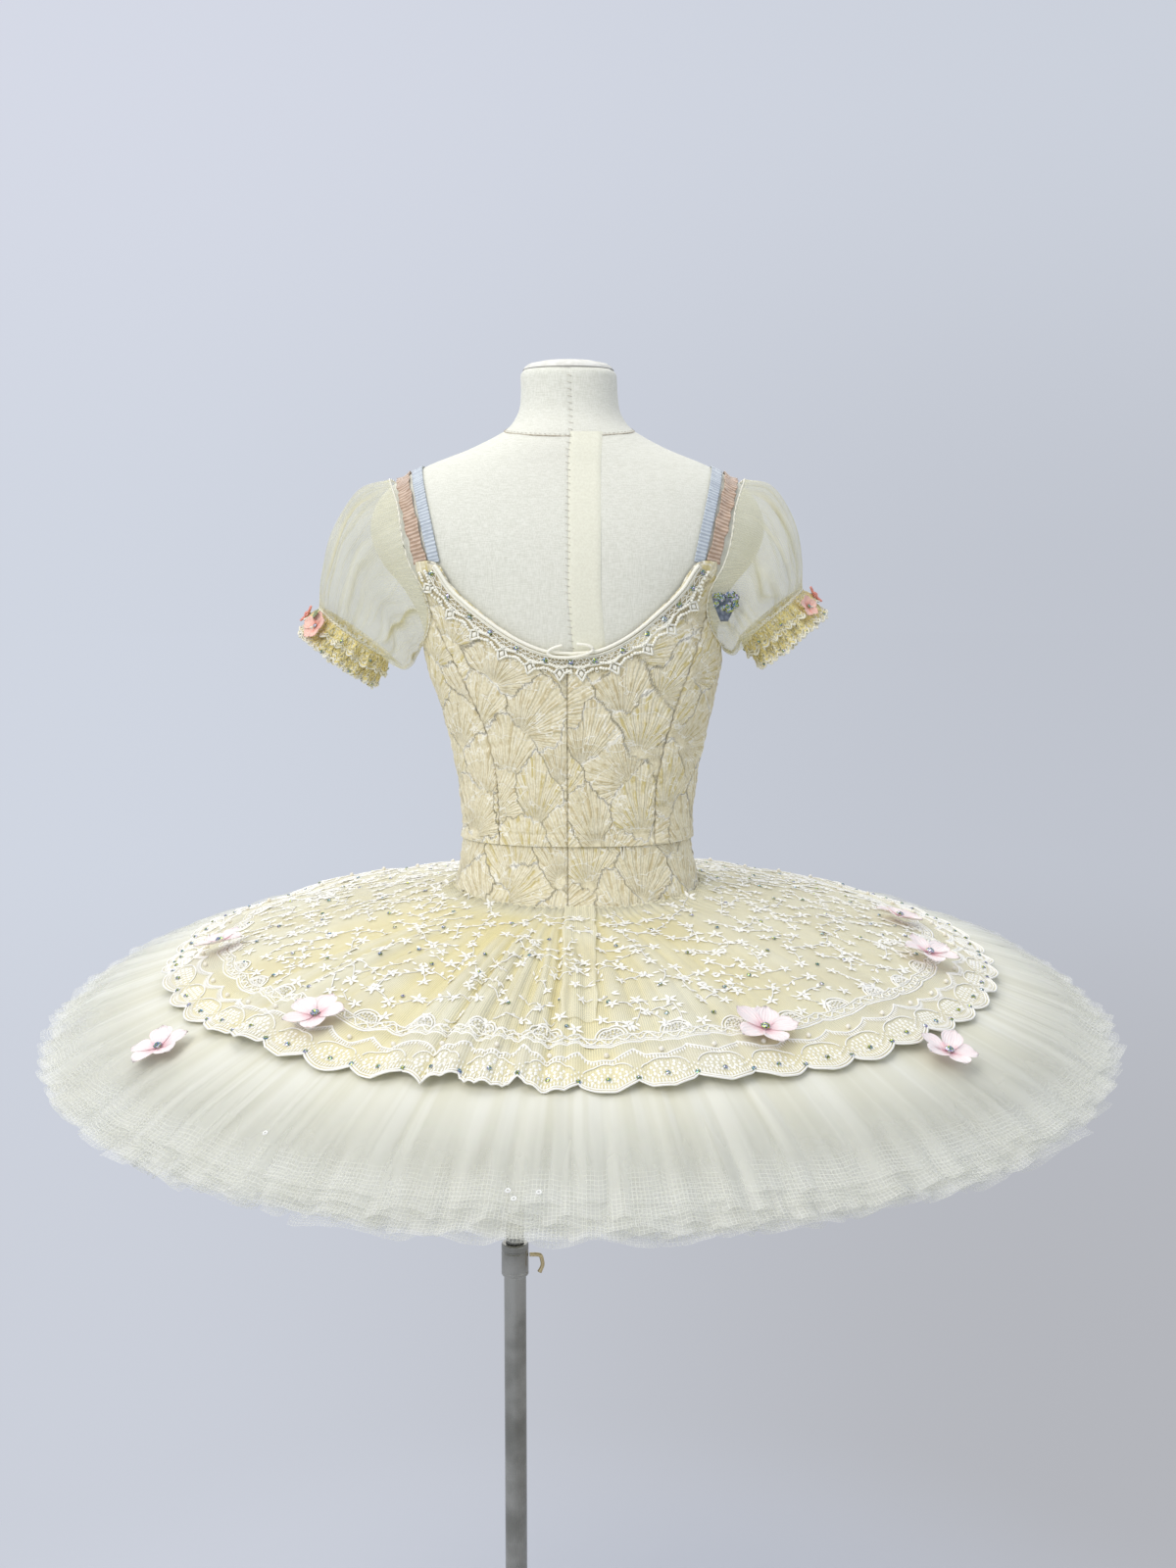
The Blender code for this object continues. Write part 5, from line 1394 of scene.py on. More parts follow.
def build_neck_lace():
    """Cords, pendants, rings and strings of beads, and the net band behind them, darkened as their painted
    shadow.
    """
    thread = embroidery_shade("lace_thread", (0.97, 0.94, 0.80), (1.0, 0.99, 0.90))
    b = Batch()
    s = np.linspace(0.975, -0.975, 320)
    for drop, radius in ((0.0052, 0.0007), (0.0124, 0.0009), (0.0088, 0.0004)):
        b.tube(neckline(s, drop, LACE_OUT - 0.0003), radius, 4)
    for drop, swing, shift in ((0.0070, 0.0016, 0.0), (0.0106, 0.0013, 1.6)):
        b.tube(neckline(s, drop + swing * np.sin(s * 130 + shift), LACE_OUT + 0.0001), 0.00045, 4)
    beads = []

    def string(s0, drop0, s1, drop1, many):
        t = np.linspace(0, 1, many)
        beads.extend(neckline(s0 + (s1 - s0) * t, drop0 + (drop1 - drop0) * t, LACE_OUT + 0.0006))

    for at in PENDANTS:
        build_pendant(b, at)
        for side in (-1, 1):
            string(at, 0.0146, at + side * 0.066, 0.0112, 6)
            string(at + side * 0.034, 0.0186, at + side * 0.080, 0.0158, 4)
    for at, after in zip(PENDANTS, PENDANTS[1:]):
        free = abs(at - after) - 2 * CHAIN_REACH
        if free > 0:
            string(at - CHAIN_REACH, 0.0158, after + CHAIN_REACH, 0.0158, max(2, int(free * 55)))
        spot, axes = neck_frames(np.array([(at + after) / 2]), 0.0178, LACE_OUT + 0.0002)
        turn = circle(10)[:, None]
        ring = np.cos(turn) * axes[0, 0] + np.sin(turn) * axes[0, 1]
        b.loop(spot + 0.0013 * ring, 0.0005, 4)
    string(-0.90, 0.0140, -0.985, 0.0120, 6)
    beads = np.array(beads)
    b.place(ball(3, 6), beads, frames_on(slope(beads)), 0.0017)
    b.build("neck_lace_beads", thread, "beaded_lace", ["neck_lace"])

    band = Batch()
    s = np.linspace(-0.98, 0.98, 240)[None, :]
    drop = 0.0024 + np.linspace(0, 1, 8)[:, None] * (0.0150 + 0.0024 * np.abs(np.sin(s * 18)))
    points = neckline(s + 0 * drop, drop, LACE_OUT - 0.0008)
    band.grid(points, flat=xyz(s * 0.14, drop, 0 * s * drop), flip=True)
    # the band is coloured dark brown as the painted shadow behind the lace
    ground, below = lace_shadow_shade(), ["bodice_centre_back_left_cloth"]
    band.build("neck_lace_shadow_net", ground, "beaded_lace", (), (0.34, 0.014), "stretched", below)

    spot, axes = neck_frames(np.array(NECK_STONES), 0.0088, LACE_OUT)
    build_stones("neck_crystals", "beaded_lace", list(zip(spot, axes, [0.0027] * len(spot))), 31)


def build_hem_thread(white):
    b = Batch()
    t = np.linspace(0, 1, 24)
    z = HEM_Z + 0.0004 - 0.0125 * np.sin(math.pi * t) ** 0.7
    x = -0.0425 + 0.0030 * t
    b.tube(body(angle_at(x, z), z, 0.0030 + 0.0006 * np.sin(math.pi * t)), 0.0005, 6)
    b.build("hem_thread", white, "cord", ["hem_thread_loop"])


def build_applique():
    """A pointed slate patch with stones, over the edge of the wearer's right sleeve."""
    def patch(t, w, out=0.0):
        x, z = -0.1335 + w * (0.0118 - 0.0088 * t**1.6), 1.2600 - 0.025 * t
        y = 0.0632 + 0.28 * (z - 1.248) - 0.10 * (x + 0.135) + out
        return xyz(x, y, z)

    t, w = np.linspace(0, 1, 16)[:, None], np.linspace(-1, 1, 13)[None, :]
    r = np.random.default_rng(3)
    b = Batch()
    b.grid(patch(t, w, 0.0004 * np.sin(9 * w + 8 * t)))
    s = Shade("slate_satin", 0.45, Sheen_Weight=0.4)
    s.mottle(260.0, 0.35, 0.65, (0.07, 0.09, 0.13), (0.19, 0.22, 0.28))
    s.bump(s.noise(s.place(), 700.0), 0.0003, 0.6)
    cut = {"flat": (0.031, 0.027), "area": 0.0005, "held": "laid", "rests": ["sleeve_right_net"]}
    b.build("slate_applique_cloth", s.material, "slate_applique", ["jewelled_applique"], thick=0.0006, **cut)
    facing = frames_on(np.array([[-0.10, 1.0, -0.28]]))[0]
    stones = []
    for _ in range(18):
        t, w = 0.62 * r.uniform() ** 1.5, r.uniform(-1.1, 1.1)
        stones.append((patch(t, w, 0.0010), facing, r.uniform(0.0024, 0.0036)))
    build_stones("applique_crystals", "slate_applique", stones, 32)


def ribbon_shade(name, low, high, ridge):
    s = Shade(name, 0.6, Sheen_Weight=0.35)
    along = s.value("along")
    fine = s.sine(s.times(along, ridge))
    tone = s.plus(s.times(fine, 0.25), s.noise(s.place(), 160.0))
    s.set("Base Color", s.mix(s.ramp(tone, 0.3, 0.75), low, high))
    s.bump(s.plus(fine, s.noise(s.place(), 900.0)), 0.0003, 0.7)
    return s.material


def build_straps():
    looks = {
        "blue": ribbon_shade("blue_ribbon_satin", (0.44, 0.49, 0.55), (0.63, 0.69, 0.73), 2600.0),
        "rose": ribbon_shade("rose_ribbon_satin", (0.42, 0.28, 0.19), (0.68, 0.52, 0.40), 2200.0),
    }
    heights = np.linspace(1.32, 1.395, 400)
    widths = blend(BODY, heights, 1)
    s = np.linspace(-1, 1, 240)[:, None]
    for name, half, top_x, back_x, front_x, out, ruffle, turns in STRAPS:
        peak = np.interp(-top_x, -widths, heights)
        w = np.linspace(-1, 1, 11)[None, :]
        for side_name, side in (("left", 1), ("right", -1)):
            end_x = np.where(s > 0, back_x, front_x)
            fall = 1 - np.cos(s * math.pi / 2)
            x = top_x + (end_x - top_x) * fall
            z = peak - (peak - STRAP_END_Z) * fall
            depth = np.where(s > 0, blend(BODY, z, 3), blend(BODY, z, 2))
            share = np.minimum(x / blend(BODY, z, 1), 1.0)
            y = depth * (1 - share**POWER) ** (1 / POWER)
            middle = np.stack([lean(z) + side * x, np.where(s > 0, y, -y), z], -1)[:, 0]
            ahead = np.gradient(middle, axis=0)
            up = unit(slope(seated(middle)))
            across = unit(np.cross(up, ahead)) * side
            phase = turns * math.pi * s + 1.5 * waves(s * 9, 21 + side)
            loud = 0.7 + 0.3 * waves(s * 31, 25 + side)
            if name == "rose":
                lift = ruffle * loud * (0.5 - 0.5 * np.cos(phase)) * np.abs(w) ** 1.4
                wide = half * w * (1 + 0.10 * np.sin(phase * 0.5 + 1))
            else:
                lift = ruffle * (0.5 - 0.5 * np.cos(phase * 1.7)) * (0.4 + 0.6 * np.abs(w))
                wide = half * w * (1 + 0.03 * np.sin(phase * 1.7))
            points = middle[:, None] + across[:, None] * wide[..., None]
            grid = seated(points, out + lift)
            b = Batch()
            b.grid(grid, flip=side < 0, along=np.broadcast_to(s * 0.1, grid.shape[:2]))
            length = 0.15 if name == "blue" else 0.16
            node = f"strap_{name}_{side_name}"
            cut = {"flat": (2 * half * 1.05, length * 1.5), "held": "gathered", "rests": ["form_linen_cover"]}
            b.build(f"{node}_ribbon", looks[name], f"{name}_ribbon", [node], thick=0.0005, **cut)


# ---------------------------------------------------------------- sleeves and cuffs
SLEEVE = (
    # outer top x, z, inner bottom x, z, half depth
    (0.196, 1.3560, 0.1460, 1.2040, 0.0640),
    (0.219, 1.3200, 0.1520, 1.1950, 0.0700),
    (0.230, 1.2800, 0.1620, 1.1900, 0.0640),
    (0.234, 1.2480, 0.1730, 1.2010, 0.0390),
)
ARMS = (
    # side, sign of x, cuff moved out and up, seed, radius of the cloth flower
    ("left", 1, 0.003, -0.002, 50, 0.0150),
    ("right", -1, -0.011, 0.016, 70, 0.0110),
)
FRILLS = (
    # start and end along the arm, radius, flare, waves
    (0.009, 0.0285, 0.0378, 0.0058, 15),
    (-0.0010, 0.0155, 0.0384, 0.0066, 17),
    (0.0165, 0.0305, 0.0370, 0.0052, 13),
)
SLEEVE_FOLDS = ((7, 1.0), (12, 0.6), (19, 0.35))  # folds round the arm, depth
SLEEVE_GATHERS = 74
CUFF_SCALLOPS = 24


def armhole(turn, out):
    squared = 2 / 2.6
    y = 0.0605 * np.sign(np.sin(turn)) * np.abs(np.sin(turn)) ** squared
    z = 1.287 - 0.0755 * np.sign(np.cos(turn)) * np.abs(np.cos(turn)) ** squared
    share = np.minimum(np.abs(y) / np.where(y > 0, blend(BODY, z, 3), blend(BODY, z, 2)), 1.0)
    x = blend(BODY, z, 1) * (1 - share**POWER) ** (1 / POWER)
    p = seated(np.stack([lean(z) + x, y, z], -1), out)
    p[..., 0] -= lean(p[..., 2])
    return p


def mirrored(p, sign):
    return np.stack([lean(p[..., 2]) + sign * p[..., 0], p[..., 1], p[..., 2]], -1)


def sleeve_shade():
    s = Shade("sleeve_net", 0.7, Sheen_Weight=0.2)
    net = s.mesh(s.triple("flat"), 1 / 0.0016, 0.25)
    dense = s.value("dense")
    cover = s.plus(0.20, s.times(dense, 0.80))
    s.set("Alpha", s.most(s.times(s.ramp(net, 0.16, 0.05), 0.55), cover))
    tone = s.noise(s.place(), 30.0, 2.0)
    plain = s.mix(s.ramp(tone, 0.3, 0.7), (0.74, 0.715, 0.49), (0.84, 0.82, 0.61))
    # painted shade: the colour darkens to olive where the net is dense in the folds and gathers
    s.set("Base Color", s.mix(s.times(dense, 0.8), plain, (0.52, 0.48, 0.28)))
    return s.material


def gold_lace_shade():
    s = Shade("gold_lace_thread", 0.5, Sheen_Weight=0.2)
    flat = s.triple("flat")
    net = s.ramp(s.mesh(flat, 1 / 0.0024, 0.5), 0.20, 0.08)
    leaf_area = s.ramp(s.noise(flat, 230.0, 1.0), 0.51, 0.56)
    s.set("Alpha", s.most(s.most(net, leaf_area), 0.34))
    gold = s.mix(s.ramp(s.noise(flat, 500.0), 0.4, 0.6), (0.66, 0.53, 0.14), (0.88, 0.77, 0.36))
    s.set("Base Color", s.mix(leaf_area, (0.86, 0.81, 0.60), gold))
    s.bump(leaf_area, 0.0004, 0.6)
    return s.material


class Cuff:
    """The frame of one cuff: its middle, the arm's direction and the way up across it."""

    def __init__(self, sign, out, up):
        top_x, top_z, bottom_x, bottom_z, _ = SLEEVE[-1]
        self.sign = sign
        self.upward = unit(np.array([top_x - bottom_x, 0.0, top_z - bottom_z]))
        self.arm = np.array([self.upward[2], 0.0, -self.upward[0]])
        self.centre = np.array([(top_x + bottom_x) / 2 + out, 0.0, (top_z + bottom_z) / 2 + up])

    def at(self, along, radius, turn):
        p = self.centre + self.arm * along[..., None] + self.upward * (radius * np.cos(turn))[..., None]
        p = p + np.array([0, 1.0, 0]) * (radius * np.sin(turn))[..., None]
        return mirrored(p, self.sign)

    def outward(self, turn):
        out = self.upward * math.cos(turn) + np.array([0, math.sin(turn), 0])
        return np.array([self.sign * out[0], out[1], out[2]])


def sleeve_rows(a, cuff_out, cuff_up, rows=44):
    """The sleeve's smooth shape from the armhole to the cuff, on the wearer's left."""
    rings = [armhole(a, 0.0048)]
    for k, (top_x, top_z, bottom_x, bottom_z, depth) in enumerate(SLEEVE):
        share = (k + 1) / len(SLEEVE)
        top, bottom = np.array([top_x, 0, top_z]), np.array([bottom_x, 0, bottom_z])
        ring = (top + bottom) / 2 + (bottom - top) / 2 * np.cos(a)[:, None]
        ring = ring + np.array([0, 1, 0]) * (depth * np.sin(a))[:, None]
        rings.append(ring + np.array([cuff_out * share, 0.0, cuff_up * share]))
    many, t = len(rings), np.linspace(0, 1, rows)
    table = np.concatenate([np.linspace(0, 1, many)[:, None], np.reshape(rings, (many, -1))], 1)
    columns = [blend(table, t, c) for c in range(1, table.shape[1])]
    return np.stack(columns, -1).reshape(rows, len(a), 3), t


def build_sleeve(side, sign, cuff_out, cuff_up, seed, net, ivory):
    """A net puff with folds from end to end and small gathers at both ends."""
    a = circle(232)
    shape, t = sleeve_rows(a, cuff_out, cuff_up)
    drift = 0.55 * waves(t * 5, seed + 1)[:, None] + 0.8 * t[:, None]
    fold = dense = 0.0
    for n, (many, deep) in enumerate(SLEEVE_FOLDS):
        phase = many * a[None] / 2 + drift * (1 + 0.6 * n) + waves(a, seed + 2 + n)[None] * 1.2
        ridge = 1 - np.abs(np.sin(phase)) ** 0.7
        loud = 0.55 + 0.45 * np.sin(many * 0.37 * a[None] + 2.2 * n + 3 * t[:, None])
        fold = fold + deep * (ridge - 0.35) * loud
        dense = dense + deep * smooth(ridge, 0.45, 1.0) * loud
    middle = np.sin(math.pi * np.clip(t * 0.9 + 0.05, 0, 1))[:, None]
    ends = np.exp(-t / 0.09)[:, None] + np.exp(-(1 - t) / 0.11)[:, None]
    gather = np.cos(SLEEVE_GATHERS * a + 1.3 * np.sin(5 * a))[None] * ends
    push = 0.0075 * fold * middle + 0.0010 * gather
    grid = mirrored(shape - normals(shape, True) * push[..., None], sign)
    flat = xyz(a[None] * 0.06, t[:, None] * 0.13, 0 * push)
    gathered = 0.22 * ends * (0.5 + 0.5 * np.cos(SLEEVE_GATHERS * a))[None]
    # dense sets the net's cover and also the painted shade of the folds and gathers
    dense = np.clip(dense * 1.05 * middle + gathered, 0, 1)
    b, node = Batch(), f"sleeve_{side}"
    b.grid(grid, ring=True, flip=sign < 0, flat=flat, dense=dense)
    b.build(f"{node}_net", net, "sheer_net", [node], (0.42, 0.115), "gathered", ["form_linen_cover"])
    seams = Batch()
    seams.loop(grid[0], 0.0007, 5)
    seams.loop(grid[-1], 0.0009, 5)
    seams.build(f"{node}_seams", ivory, "sheer_net")


def build_cuff(side, cuff, seed, lace, gold, ivory):
    """Three lace frills with corded edges and a gold cord that wanders over each."""
    frills, edges, dots = Batch(), Batch(), Batch()
    turn = circle(240)
    column = np.arange(240)
    for n, (start, end, base, flare, waves_round) in enumerate(FRILLS):
        share = np.linspace(0, 1, 12)[:, None]
        phase = waves_round * turn[None] + 1.1 * waves(turn * 3, seed + 9 + n)[None]
        scallops = np.abs(np.sin(turn * CUFF_SCALLOPS))
        reach_out = 0.0030 * scallops[None] + 0.0016 * waves(turn * 5, seed + 12 + n)[None]
        along = start + (end - start) * share + share * reach_out
        radius = base + flare * share**1.2 * (0.35 + np.cos(phase) * 0.65) + 0.0010 * share
        grid = cuff.at(along, radius, turn[None] + 0 * share)
        flat = xyz(turn[None] * 0.04, share * 0.02, 0 * phase)
        frills.grid(grid, ring=True, flip=cuff.sign < 0, flat=flat)
        edges.loop(grid[-1], 0.0009, 5)
        edges.loop(grid[-3], 0.0005, 4)
        row = scallops * 4.0 + 3.6
        low = np.floor(row).astype(int)
        part = (row - low)[:, None]
        dots.loop(grid[low, column] * (1 - part) + grid[low + 1, column] * part, 0.0009, 4)
        dots.loop(grid[2], 0.0006, 4)
    node, below = f"cuff_{side}", [f"sleeve_{side}_net"]
    frills.build(f"{node}_lace", lace, "gold_lace", [node], (0.34, 0.060), "gathered", below)
    edges.build(f"{node}_edges", ivory, "gold_lace")
    dots.build(f"{node}_gold_cord", gold, "gold_lace")


def middle_of(node):
    """The middle of a solid's box."""
    low, high = (np.array(corner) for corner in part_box(node))
    return (low + high) / 2


def build_cuff_flowers(side, cuff, seed, radius, peach, wire):
    """The cloth flower and the bead flower on a cuff; gives the stone in the first one's heart."""
    node, out = f"cuff_flower_{side}", cuff.outward(math.radians(40))
    spot = middle_of(node) + np.array([-cuff.sign * 0.004, 0.004, -0.003])
    axes = frames_on(out[None])[0]
    b = Batch()
    petal_flower(b, spot, axes, radius, seed + 5, cup=0.30, width=0.86)
    cut = {"flat": (2 * radius, 2 * radius), "area": 3.33 * radius**2, "held": "laid"}
    b.build(f"{node}_petals", peach, "peach_flower", [node], rests=[f"cuff_{side}_lace"], thick=0.0003, **cut)
    stone = (spot + out * 0.0018, axes, 0.0021)

    node, out, radius = f"cuff_bead_flower_{side}", cuff.outward(math.radians(8)), 0.0095
    spot, axes = middle_of(node), frames_on(out[None])[0]
    b = Batch()
    t = np.linspace(0, TAU, 18, endpoint=False)
    for k in range(6):
        turn = k * TAU / 6
        ahead = axes[0] * math.cos(turn) + axes[1] * math.sin(turn)
        aside = -axes[0] * math.sin(turn) + axes[1] * math.cos(turn)
        far = radius * (0.5 - 0.5 * np.cos(t))
        loop = spot + ahead * far[:, None] + aside * (0.0026 * np.sin(t))[:, None]
        loop = loop + out * (0.0014 + 0.0026 * (far / radius))[:, None]
        b.loop(loop, 0.00085, 5)
        b.place(ball(4, 6), loop[::3], frames_on(np.tile(out, (6, 1))), 0.0009)
    b.build(f"{node}_wire", wire, "bead_flower", [node])
    return stone


def build_arms():
    net, lace = sleeve_shade(), gold_lace_shade()
    gold = embroidery_shade("gold_cord", (0.66, 0.53, 0.14), (0.84, 0.74, 0.36))
    ivory = embroidery_shade("cuff_edge_cord", (0.80, 0.76, 0.58), (0.92, 0.90, 0.78))
    peach = petal_shade("peach_petals", (0.93, 0.34, 0.24), (0.97, 0.60, 0.49))
    wire = satin("salmon_wire", (0.74, 0.20, 0.15), (0.88, 0.38, 0.30), 0.35)
    moss = satin("olive_leaf", (0.16, 0.20, 0.05), (0.28, 0.30, 0.10))
    for side, sign, cuff_out, cuff_up, seed, flower in ARMS:
        build_sleeve(side, sign, cuff_out, cuff_up, seed, net, ivory)
        cuff = Cuff(sign, cuff_out, cuff_up)
        build_cuff(side, cuff, seed, lace, gold, ivory)
        stones = []
        r = np.random.default_rng(seed)
        for k in range(16):
            turn, along = k / 16 * TAU + r.uniform(-0.1, 0.1), 0.010 + 0.020 * (k % 2)
            p = cuff.at(np.array(along), np.array(0.0432), np.array(turn))
            stones.append((p, frames_on(cuff.outward(turn)[None])[0], 0.0017))
        stones.append(build_cuff_flowers(side, cuff, seed, flower, peach, wire))
        build_stones(f"cuff_{side}_crystals", "gold_lace", stones, seed + 6)
        if side == "left":
            build_leaf(cuff, moss)


def build_leaf(cuff, moss):
    """Three small leaves beside the left cuff's flowers."""
    out = cuff.outward(math.radians(16))
    spot = middle_of("cuff_flower_left") + cuff.upward * 0.002 - cuff.arm * 0.004 + out * 0.001
    b = Batch()
    for k in range(3):
        turn = k * 0.7 - 0.7
        heading = -cuff.arm * math.cos(turn) + np.cross(out, cuff.arm) * math.sin(turn)
        b.place(leaf(8, 0.2), [spot], frames_on(out[None], heading), [[0.0060, 0.0115, 0.006]])
    b.build("cuff_leaf_left", moss, "peach_flower")


# ---------------------------------------------------------------- knickers and stand
LEG_X, LEG_Z, LEG_RADIUS, LEG_TILT = 0.074, 0.790, 0.060, 25
KNICKERS_Z = 0.7985


def build_knickers():
    """Plain net knickers over the hips, cut away where the legs would be."""
    around = circle(160)
    levels = np.linspace(0, 1, 30)[:, None]
    start = seam_z(around) - 0.0006
    z = start + (FORM_BOTTOM - start) * levels
    side = body(around + 0 * levels, z, 0.0012 + 0.0003 * np.cos(90 * around) * np.exp(-levels / 0.1))
    middle = np.array([lean(FORM_BOTTOM), 0.0, KNICKERS_Z])
    under = middle + (side[-1] - middle) * np.linspace(0.985, 0.0, 30)[:, None, None]
    under[..., 2] = KNICKERS_Z
    grid = np.concatenate([side, under])
    points = grid.reshape(-1, 3)
    legs = []
    for x, tilt in ((LEG_X, -LEG_TILT), (-LEG_X + 2 * float(lean(FORM_BOTTOM)), LEG_TILT)):
        tilt = math.radians(tilt)
        origin, axis = np.array([x, 0.0, LEG_Z]), np.array([math.sin(tilt), 0.0, math.cos(tilt)])
        away = points - origin
        flat = away - axis * (away @ axis)[:, None]
        far = np.linalg.norm(flat, axis=1)
        inside = (far < LEG_RADIUS) & (points[:, 2] < 0.86)
        push = flat * (LEG_RADIUS / np.maximum(far, 1e-6) - 1)[:, None]
        points = np.where(inside[:, None], points + push, points)
        legs.append((axis, origin, inside))
    cut = legs[0][2] | legs[1][2]
    index = np.arange(len(points)).reshape(grid.shape[:2])
    after = np.roll(index, -1, 1)
    faces = np.stack([index[1:], after[1:], after[:-1], index[:-1]], -1).reshape(-1, 4)
    faces = faces[~cut[faces].all(1)]
    used = np.unique(faces)
    s = Shade("knickers_net", 0.8, Sheen_Weight=0.2)
    s.mottle(40.0, 0.3, 0.7, (0.74, 0.72, 0.60), (0.82, 0.80, 0.70))
    s.bump(weave(s, s.place(), 500.0), 0.0003, 0.5)
    b = Batch()
    b.add(points, faces)
    size, below = (0.80, 0.17), ["form_linen_cover"]
    b.build("knickers_cloth", s.material, "knickers", ["knickers"], size, "stretched", below, area=0.125)
    elastic = Batch()
    for axis, origin, inside in legs:
        ring = points[used[inside[used]]]
        away = ring - origin
        side_x = unit(np.cross(axis, [0, 1.0, 0]))
        turn = np.arctan2(away @ np.cross(axis, side_x), away @ side_x)
        order = np.argsort(turn)
        steps = np.linspace(-math.pi, math.pi, 90, endpoint=False)
        columns = [np.interp(steps, turn[order], ring[order, c], period=TAU) for c in range(3)]
        elastic.loop(np.stack(columns, -1), 0.0013, 6)
    elastic.build("knickers_elastic", s.material, "knickers")


def lathe(profile, centre, sides=64):
    profile = np.array(profile, float)
    turn = circle(sides)
    grid = polar(profile[:, :1], turn[None], profile[:, 1:])
    return grid + np.array([centre, 0.0, 0.0])


def metal(name, low, high, roughness, scale=(1.0, 1.0, 0.02)):
    s = Shade(name, roughness, Metallic=1.0)
    streak = s.noise(s.scaled(s.place(), *scale), 1500.0, 2.0)
    cloud = s.noise(s.place(), 22.0, 3.0)
    s.set("Base Color", s.mix(s.ramp(cloud, 0.3, 0.7), low, high))
    wear = s.plus(streak, s.times(cloud, 0.5))
    s.set("Roughness", s.ramp(wear, 0.4, 1.1, roughness * 0.7, roughness * 1.5))
    s.bump(streak, 0.00008, 0.5)
    return s.material


STAND_X = 0.065
# each profile's rows: radius, height
BASE_PROFILE = (
    (0.0115, 0.0160), (0.030, 0.0159), (0.0665, 0.0150), (0.110, 0.0132), (0.152, 0.0110), (0.176, 0.0090),
    (0.187, 0.0070), (0.1898, 0.0050), (0.1900, 0.0012), (0.1890, 0.0002), (0.178, 0.0), (0.010, 0.0),
)
POLE_PROFILE = (
    (0.0004, 0.0164), (0.0110, 0.0164), (0.0110, 0.020), (0.0110, 0.30),
    (0.0110, 0.5835), (0.0104, 0.5858), (0.0004, 0.5858),
)
FLANGE_PROFILE = (
    (0.0112, 0.0280), (0.0150, 0.0276), (0.0158, 0.0264),
    (0.0160, 0.0200), (0.0190, 0.0180), (0.0205, 0.0163),
)
COLLAR_PROFILE = (
    (0.0092, 0.6190), (0.0124, 0.6190), (0.0132, 0.6182), (0.0135, 0.6168), (0.0135, 0.6120),
    (0.0130, 0.6114), (0.0130, 0.6104), (0.0135, 0.6098), (0.0135, 0.5912), (0.0131, 0.5904),
    (0.0135, 0.5896), (0.0135, 0.5876), (0.0128, 0.5864), (0.0110, 0.5864),
)
TUBE_PROFILE = ((0.0004, 0.6194), (0.0090, 0.6194), (0.0090, 0.70), (0.0090, 0.7996), (0.0004, 0.7996))


def build_stand():
    chrome = metal("pole_chrome", (0.25, 0.245, 0.215), (0.42, 0.41, 0.37), 0.26)
    dull = metal("base_steel", (0.42, 0.42, 0.42), (0.55, 0.55, 0.54), 0.38, (1.0, 1.0, 1.0))
    brass = metal("thumbscrew_brass", (0.60, 0.48, 0.26), (0.74, 0.62, 0.38), 0.28, (1.0, 1.0, 1.0))
    jobs = (
        # piece, profile, material, slot, nodes, rising profile
        ("stand_base_disc", BASE_PROFILE, dull, "base_metal", ["stand_base"], False),
        ("stand_pole_tube", POLE_PROFILE, chrome, "pole_metal", ["stand_pole"], True),
        ("stand_flange", FLANGE_PROFILE, chrome, "pole_metal", [], False),
        ("stand_collar_ring", COLLAR_PROFILE, chrome, "pole_metal", ["stand_collar"], False),
        ("stand_height_tube", TUBE_PROFILE, chrome, "pole_metal", ["stand_upper_tube"], True),
    )
    for name, profile, shade, slot, nodes, rising in jobs:
        b = Batch()
        b.grid(lathe(profile, STAND_X), ring=True, flip=rising)
        b.build(name, shade, slot, nodes).data.set_sharp_from_angle(angle=math.radians(35))
    low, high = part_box("stand_thumbscrew")
    t, marks = np.linspace(0, 1, 40), [0, 0.25, 0.5, 0.75, 1.0]
    x = [high[0], high[0] - 0.010, low[0] + 0.004, low[0] + 0.0022, low[0] + 0.006]
    z = [0.6065, 0.6065, 0.6050, 0.5960, low[2] + 0.0025]
    kernel = np.ones(7) / 7
    x, z = (np.convolve(np.pad(np.interp(t, marks, v), 3, "edge"), kernel, "valid") for v in (x, z))
    b = Batch()
    b.tube(xyz(x, 0.0, z), 0.0020 + 0.0004 * bell(t - 1, 0.08), 12)
    b.build("stand_thumbscrew_lever", brass, "thumbscrew_metal", ["stand_thumbscrew"])


# ---------------------------------------------------------------- stage, light and camera
FLOOR_Z, FLOOR_RADIUS = -0.0005, 40.0


def build_stage():
    """A pale floor that is lit round the stand; further out it glows with painted light, brighter on the
    wearer's left, and fades into the backdrop's colour.
    """
    s = Shade("studio_floor", 0.9)
    x, _, _ = s.parts(s.place())
    far = s.vector("LENGTH", s.place())
    aside = s.math("DIVIDE", x, s.plus(far, 1.8))
    near = s.mix(s.ramp(aside, -0.3, 0.3), (0.455, 0.465, 0.500), (0.60, 0.63, 0.705))
    pale = s.mix(s.ramp(aside, -0.3, 0.3), HORIZON[0], HORIZON[1])
    # painted light: beyond a metre the floor glows, brighter on the wearer's left and lighter further out
    glow = s.ramp(far, 0.30, 1.0)
    s.set("Base Color", s.mix(glow, (0.62, 0.64, 0.69), (0.0, 0.0, 0.0)))
    s.set("Emission Color", s.mix(s.ramp(far, 0.8, 7.0), near, pale))
    s.set("Emission Strength", glow)
    s.base.inputs["Specular IOR Level"].default_value = 0.0
    radius = np.concatenate([np.linspace(0.01, 6, 40), [FLOOR_RADIUS]])
    b = Batch()
    b.grid(polar(radius[:, None], circle(128)[None, :], FLOOR_Z), ring=True, flip=True)
    mesh = bpy.data.meshes.new("floor")
    mesh.from_pydata(np.concatenate(b.points).tolist(), [], b.faces)
    mesh.materials.append(s.material)
    floor = bpy.data.objects.new("floor", mesh)
    link(floor)


HORIZON = ((0.525, 0.552, 0.615), (0.632, 0.672, 0.757))
ZENITH = ((0.600, 0.636, 0.714), (0.672, 0.702, 0.796))


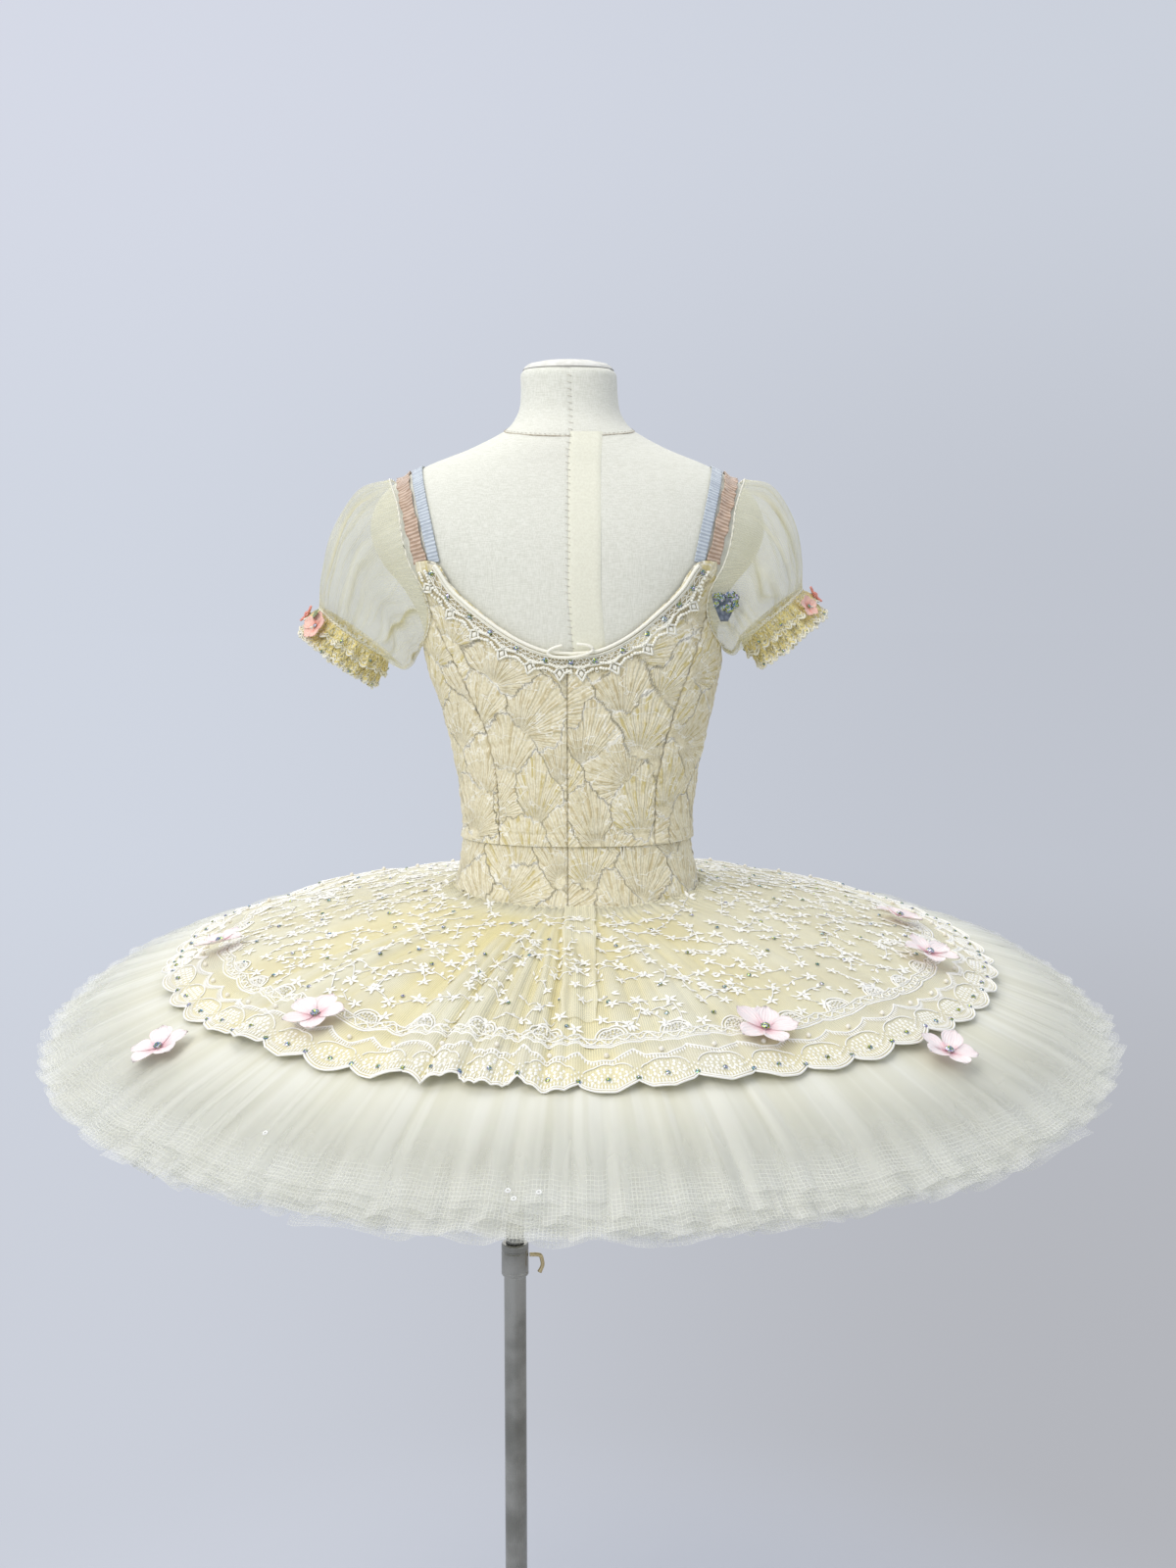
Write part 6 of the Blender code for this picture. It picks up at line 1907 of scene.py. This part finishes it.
LAMPS = (
    # place, size, power, colour, height of the aim
    ((1.7, 2.4, 3.1), 1.9, 50.0, (1.0, 0.965, 0.89), 1.1),
    ((-2.4, 1.8, 2.0), 2.0, 4.0, (0.98, 0.97, 0.94), 1.1),
    ((0.4, -2.6, 2.8), 2.4, 26.0, (1.0, 0.97, 0.91), 1.1),
    ((0.3, 0.1, 3.6), 1.6, 17.0, (1.0, 0.97, 0.91), 1.0),
)


def build_light():
    """A pale backdrop all round, brighter on the wearer's left, and four soft lamps."""
    scene = bpy.context.scene
    scene.world = bpy.data.worlds.new("studio")
    scene.world.use_nodes = True
    sky = Nodes(scene.world.node_tree)
    x, _, z = sky.parts(sky.node("TexCoord", 0))
    aside, up = sky.ramp(x, -0.32, 0.32), sky.ramp(z, -0.02, 0.26)
    back = sky.tree.nodes["Background"]
    sky.put(back.inputs[0], sky.mix(up, sky.mix(aside, *HORIZON), sky.mix(aside, *ZENITH)))
    back.inputs[1].default_value = 1.0
    for i, (place, size, power, colour, aim) in enumerate(LAMPS):
        data = bpy.data.lights.new(f"softbox_{i}", "AREA")
        data.size, data.energy, data.color = size, power, colour
        lamp = bpy.data.objects.new(f"softbox_{i}", data)
        lamp.location = place
        x, y, z = place[0], place[1], place[2] - aim
        lamp.rotation_euler = (math.atan2(math.hypot(x, y), z), 0, math.atan2(y, x) + math.pi / 2)
        link(lamp)
    scene.view_settings.view_transform = "Standard"
    scene.view_settings.look = "None"
    scene.cycles.transparent_max_bounces = 32


# the view was worked out from the photo: place, lens in millimetres and tilt below the level
CAMERA_PLACE, LENS, CAMERA_TILT = (-0.0075, 1.786, 1.278), 42.75, math.atan(214 / 1900)


def build_camera():
    data = bpy.data.cameras.new("camera")
    data.sensor_width = 36.0
    data.lens = LENS
    camera = bpy.data.objects.new("camera", data)
    camera.location = CAMERA_PLACE
    camera.rotation_euler = (math.pi / 2 - CAMERA_TILT, 0, math.pi)
    link(camera)
    bpy.context.scene.camera = camera


build_stage()
build_light()
build_camera()
build_form()
build_form_trim()
brocade = brocade_shade()
build_bodice(brocade)
build_basque(brocade)
crystal, net_shade = crystal_shade(), overlay_net_shade()
build_tulle()
build_overlays()
stones = []
build_flowers(stones)
build_sequins()
build_crystals(stones)
piping = satin("piping_satin", (0.90, 0.87, 0.73), (0.97, 0.95, 0.84))
build_neck_cords(piping)
build_neck_lace()
build_hem_thread(piping)
build_applique()
build_straps()
build_arms()
build_knickers()
build_stand()
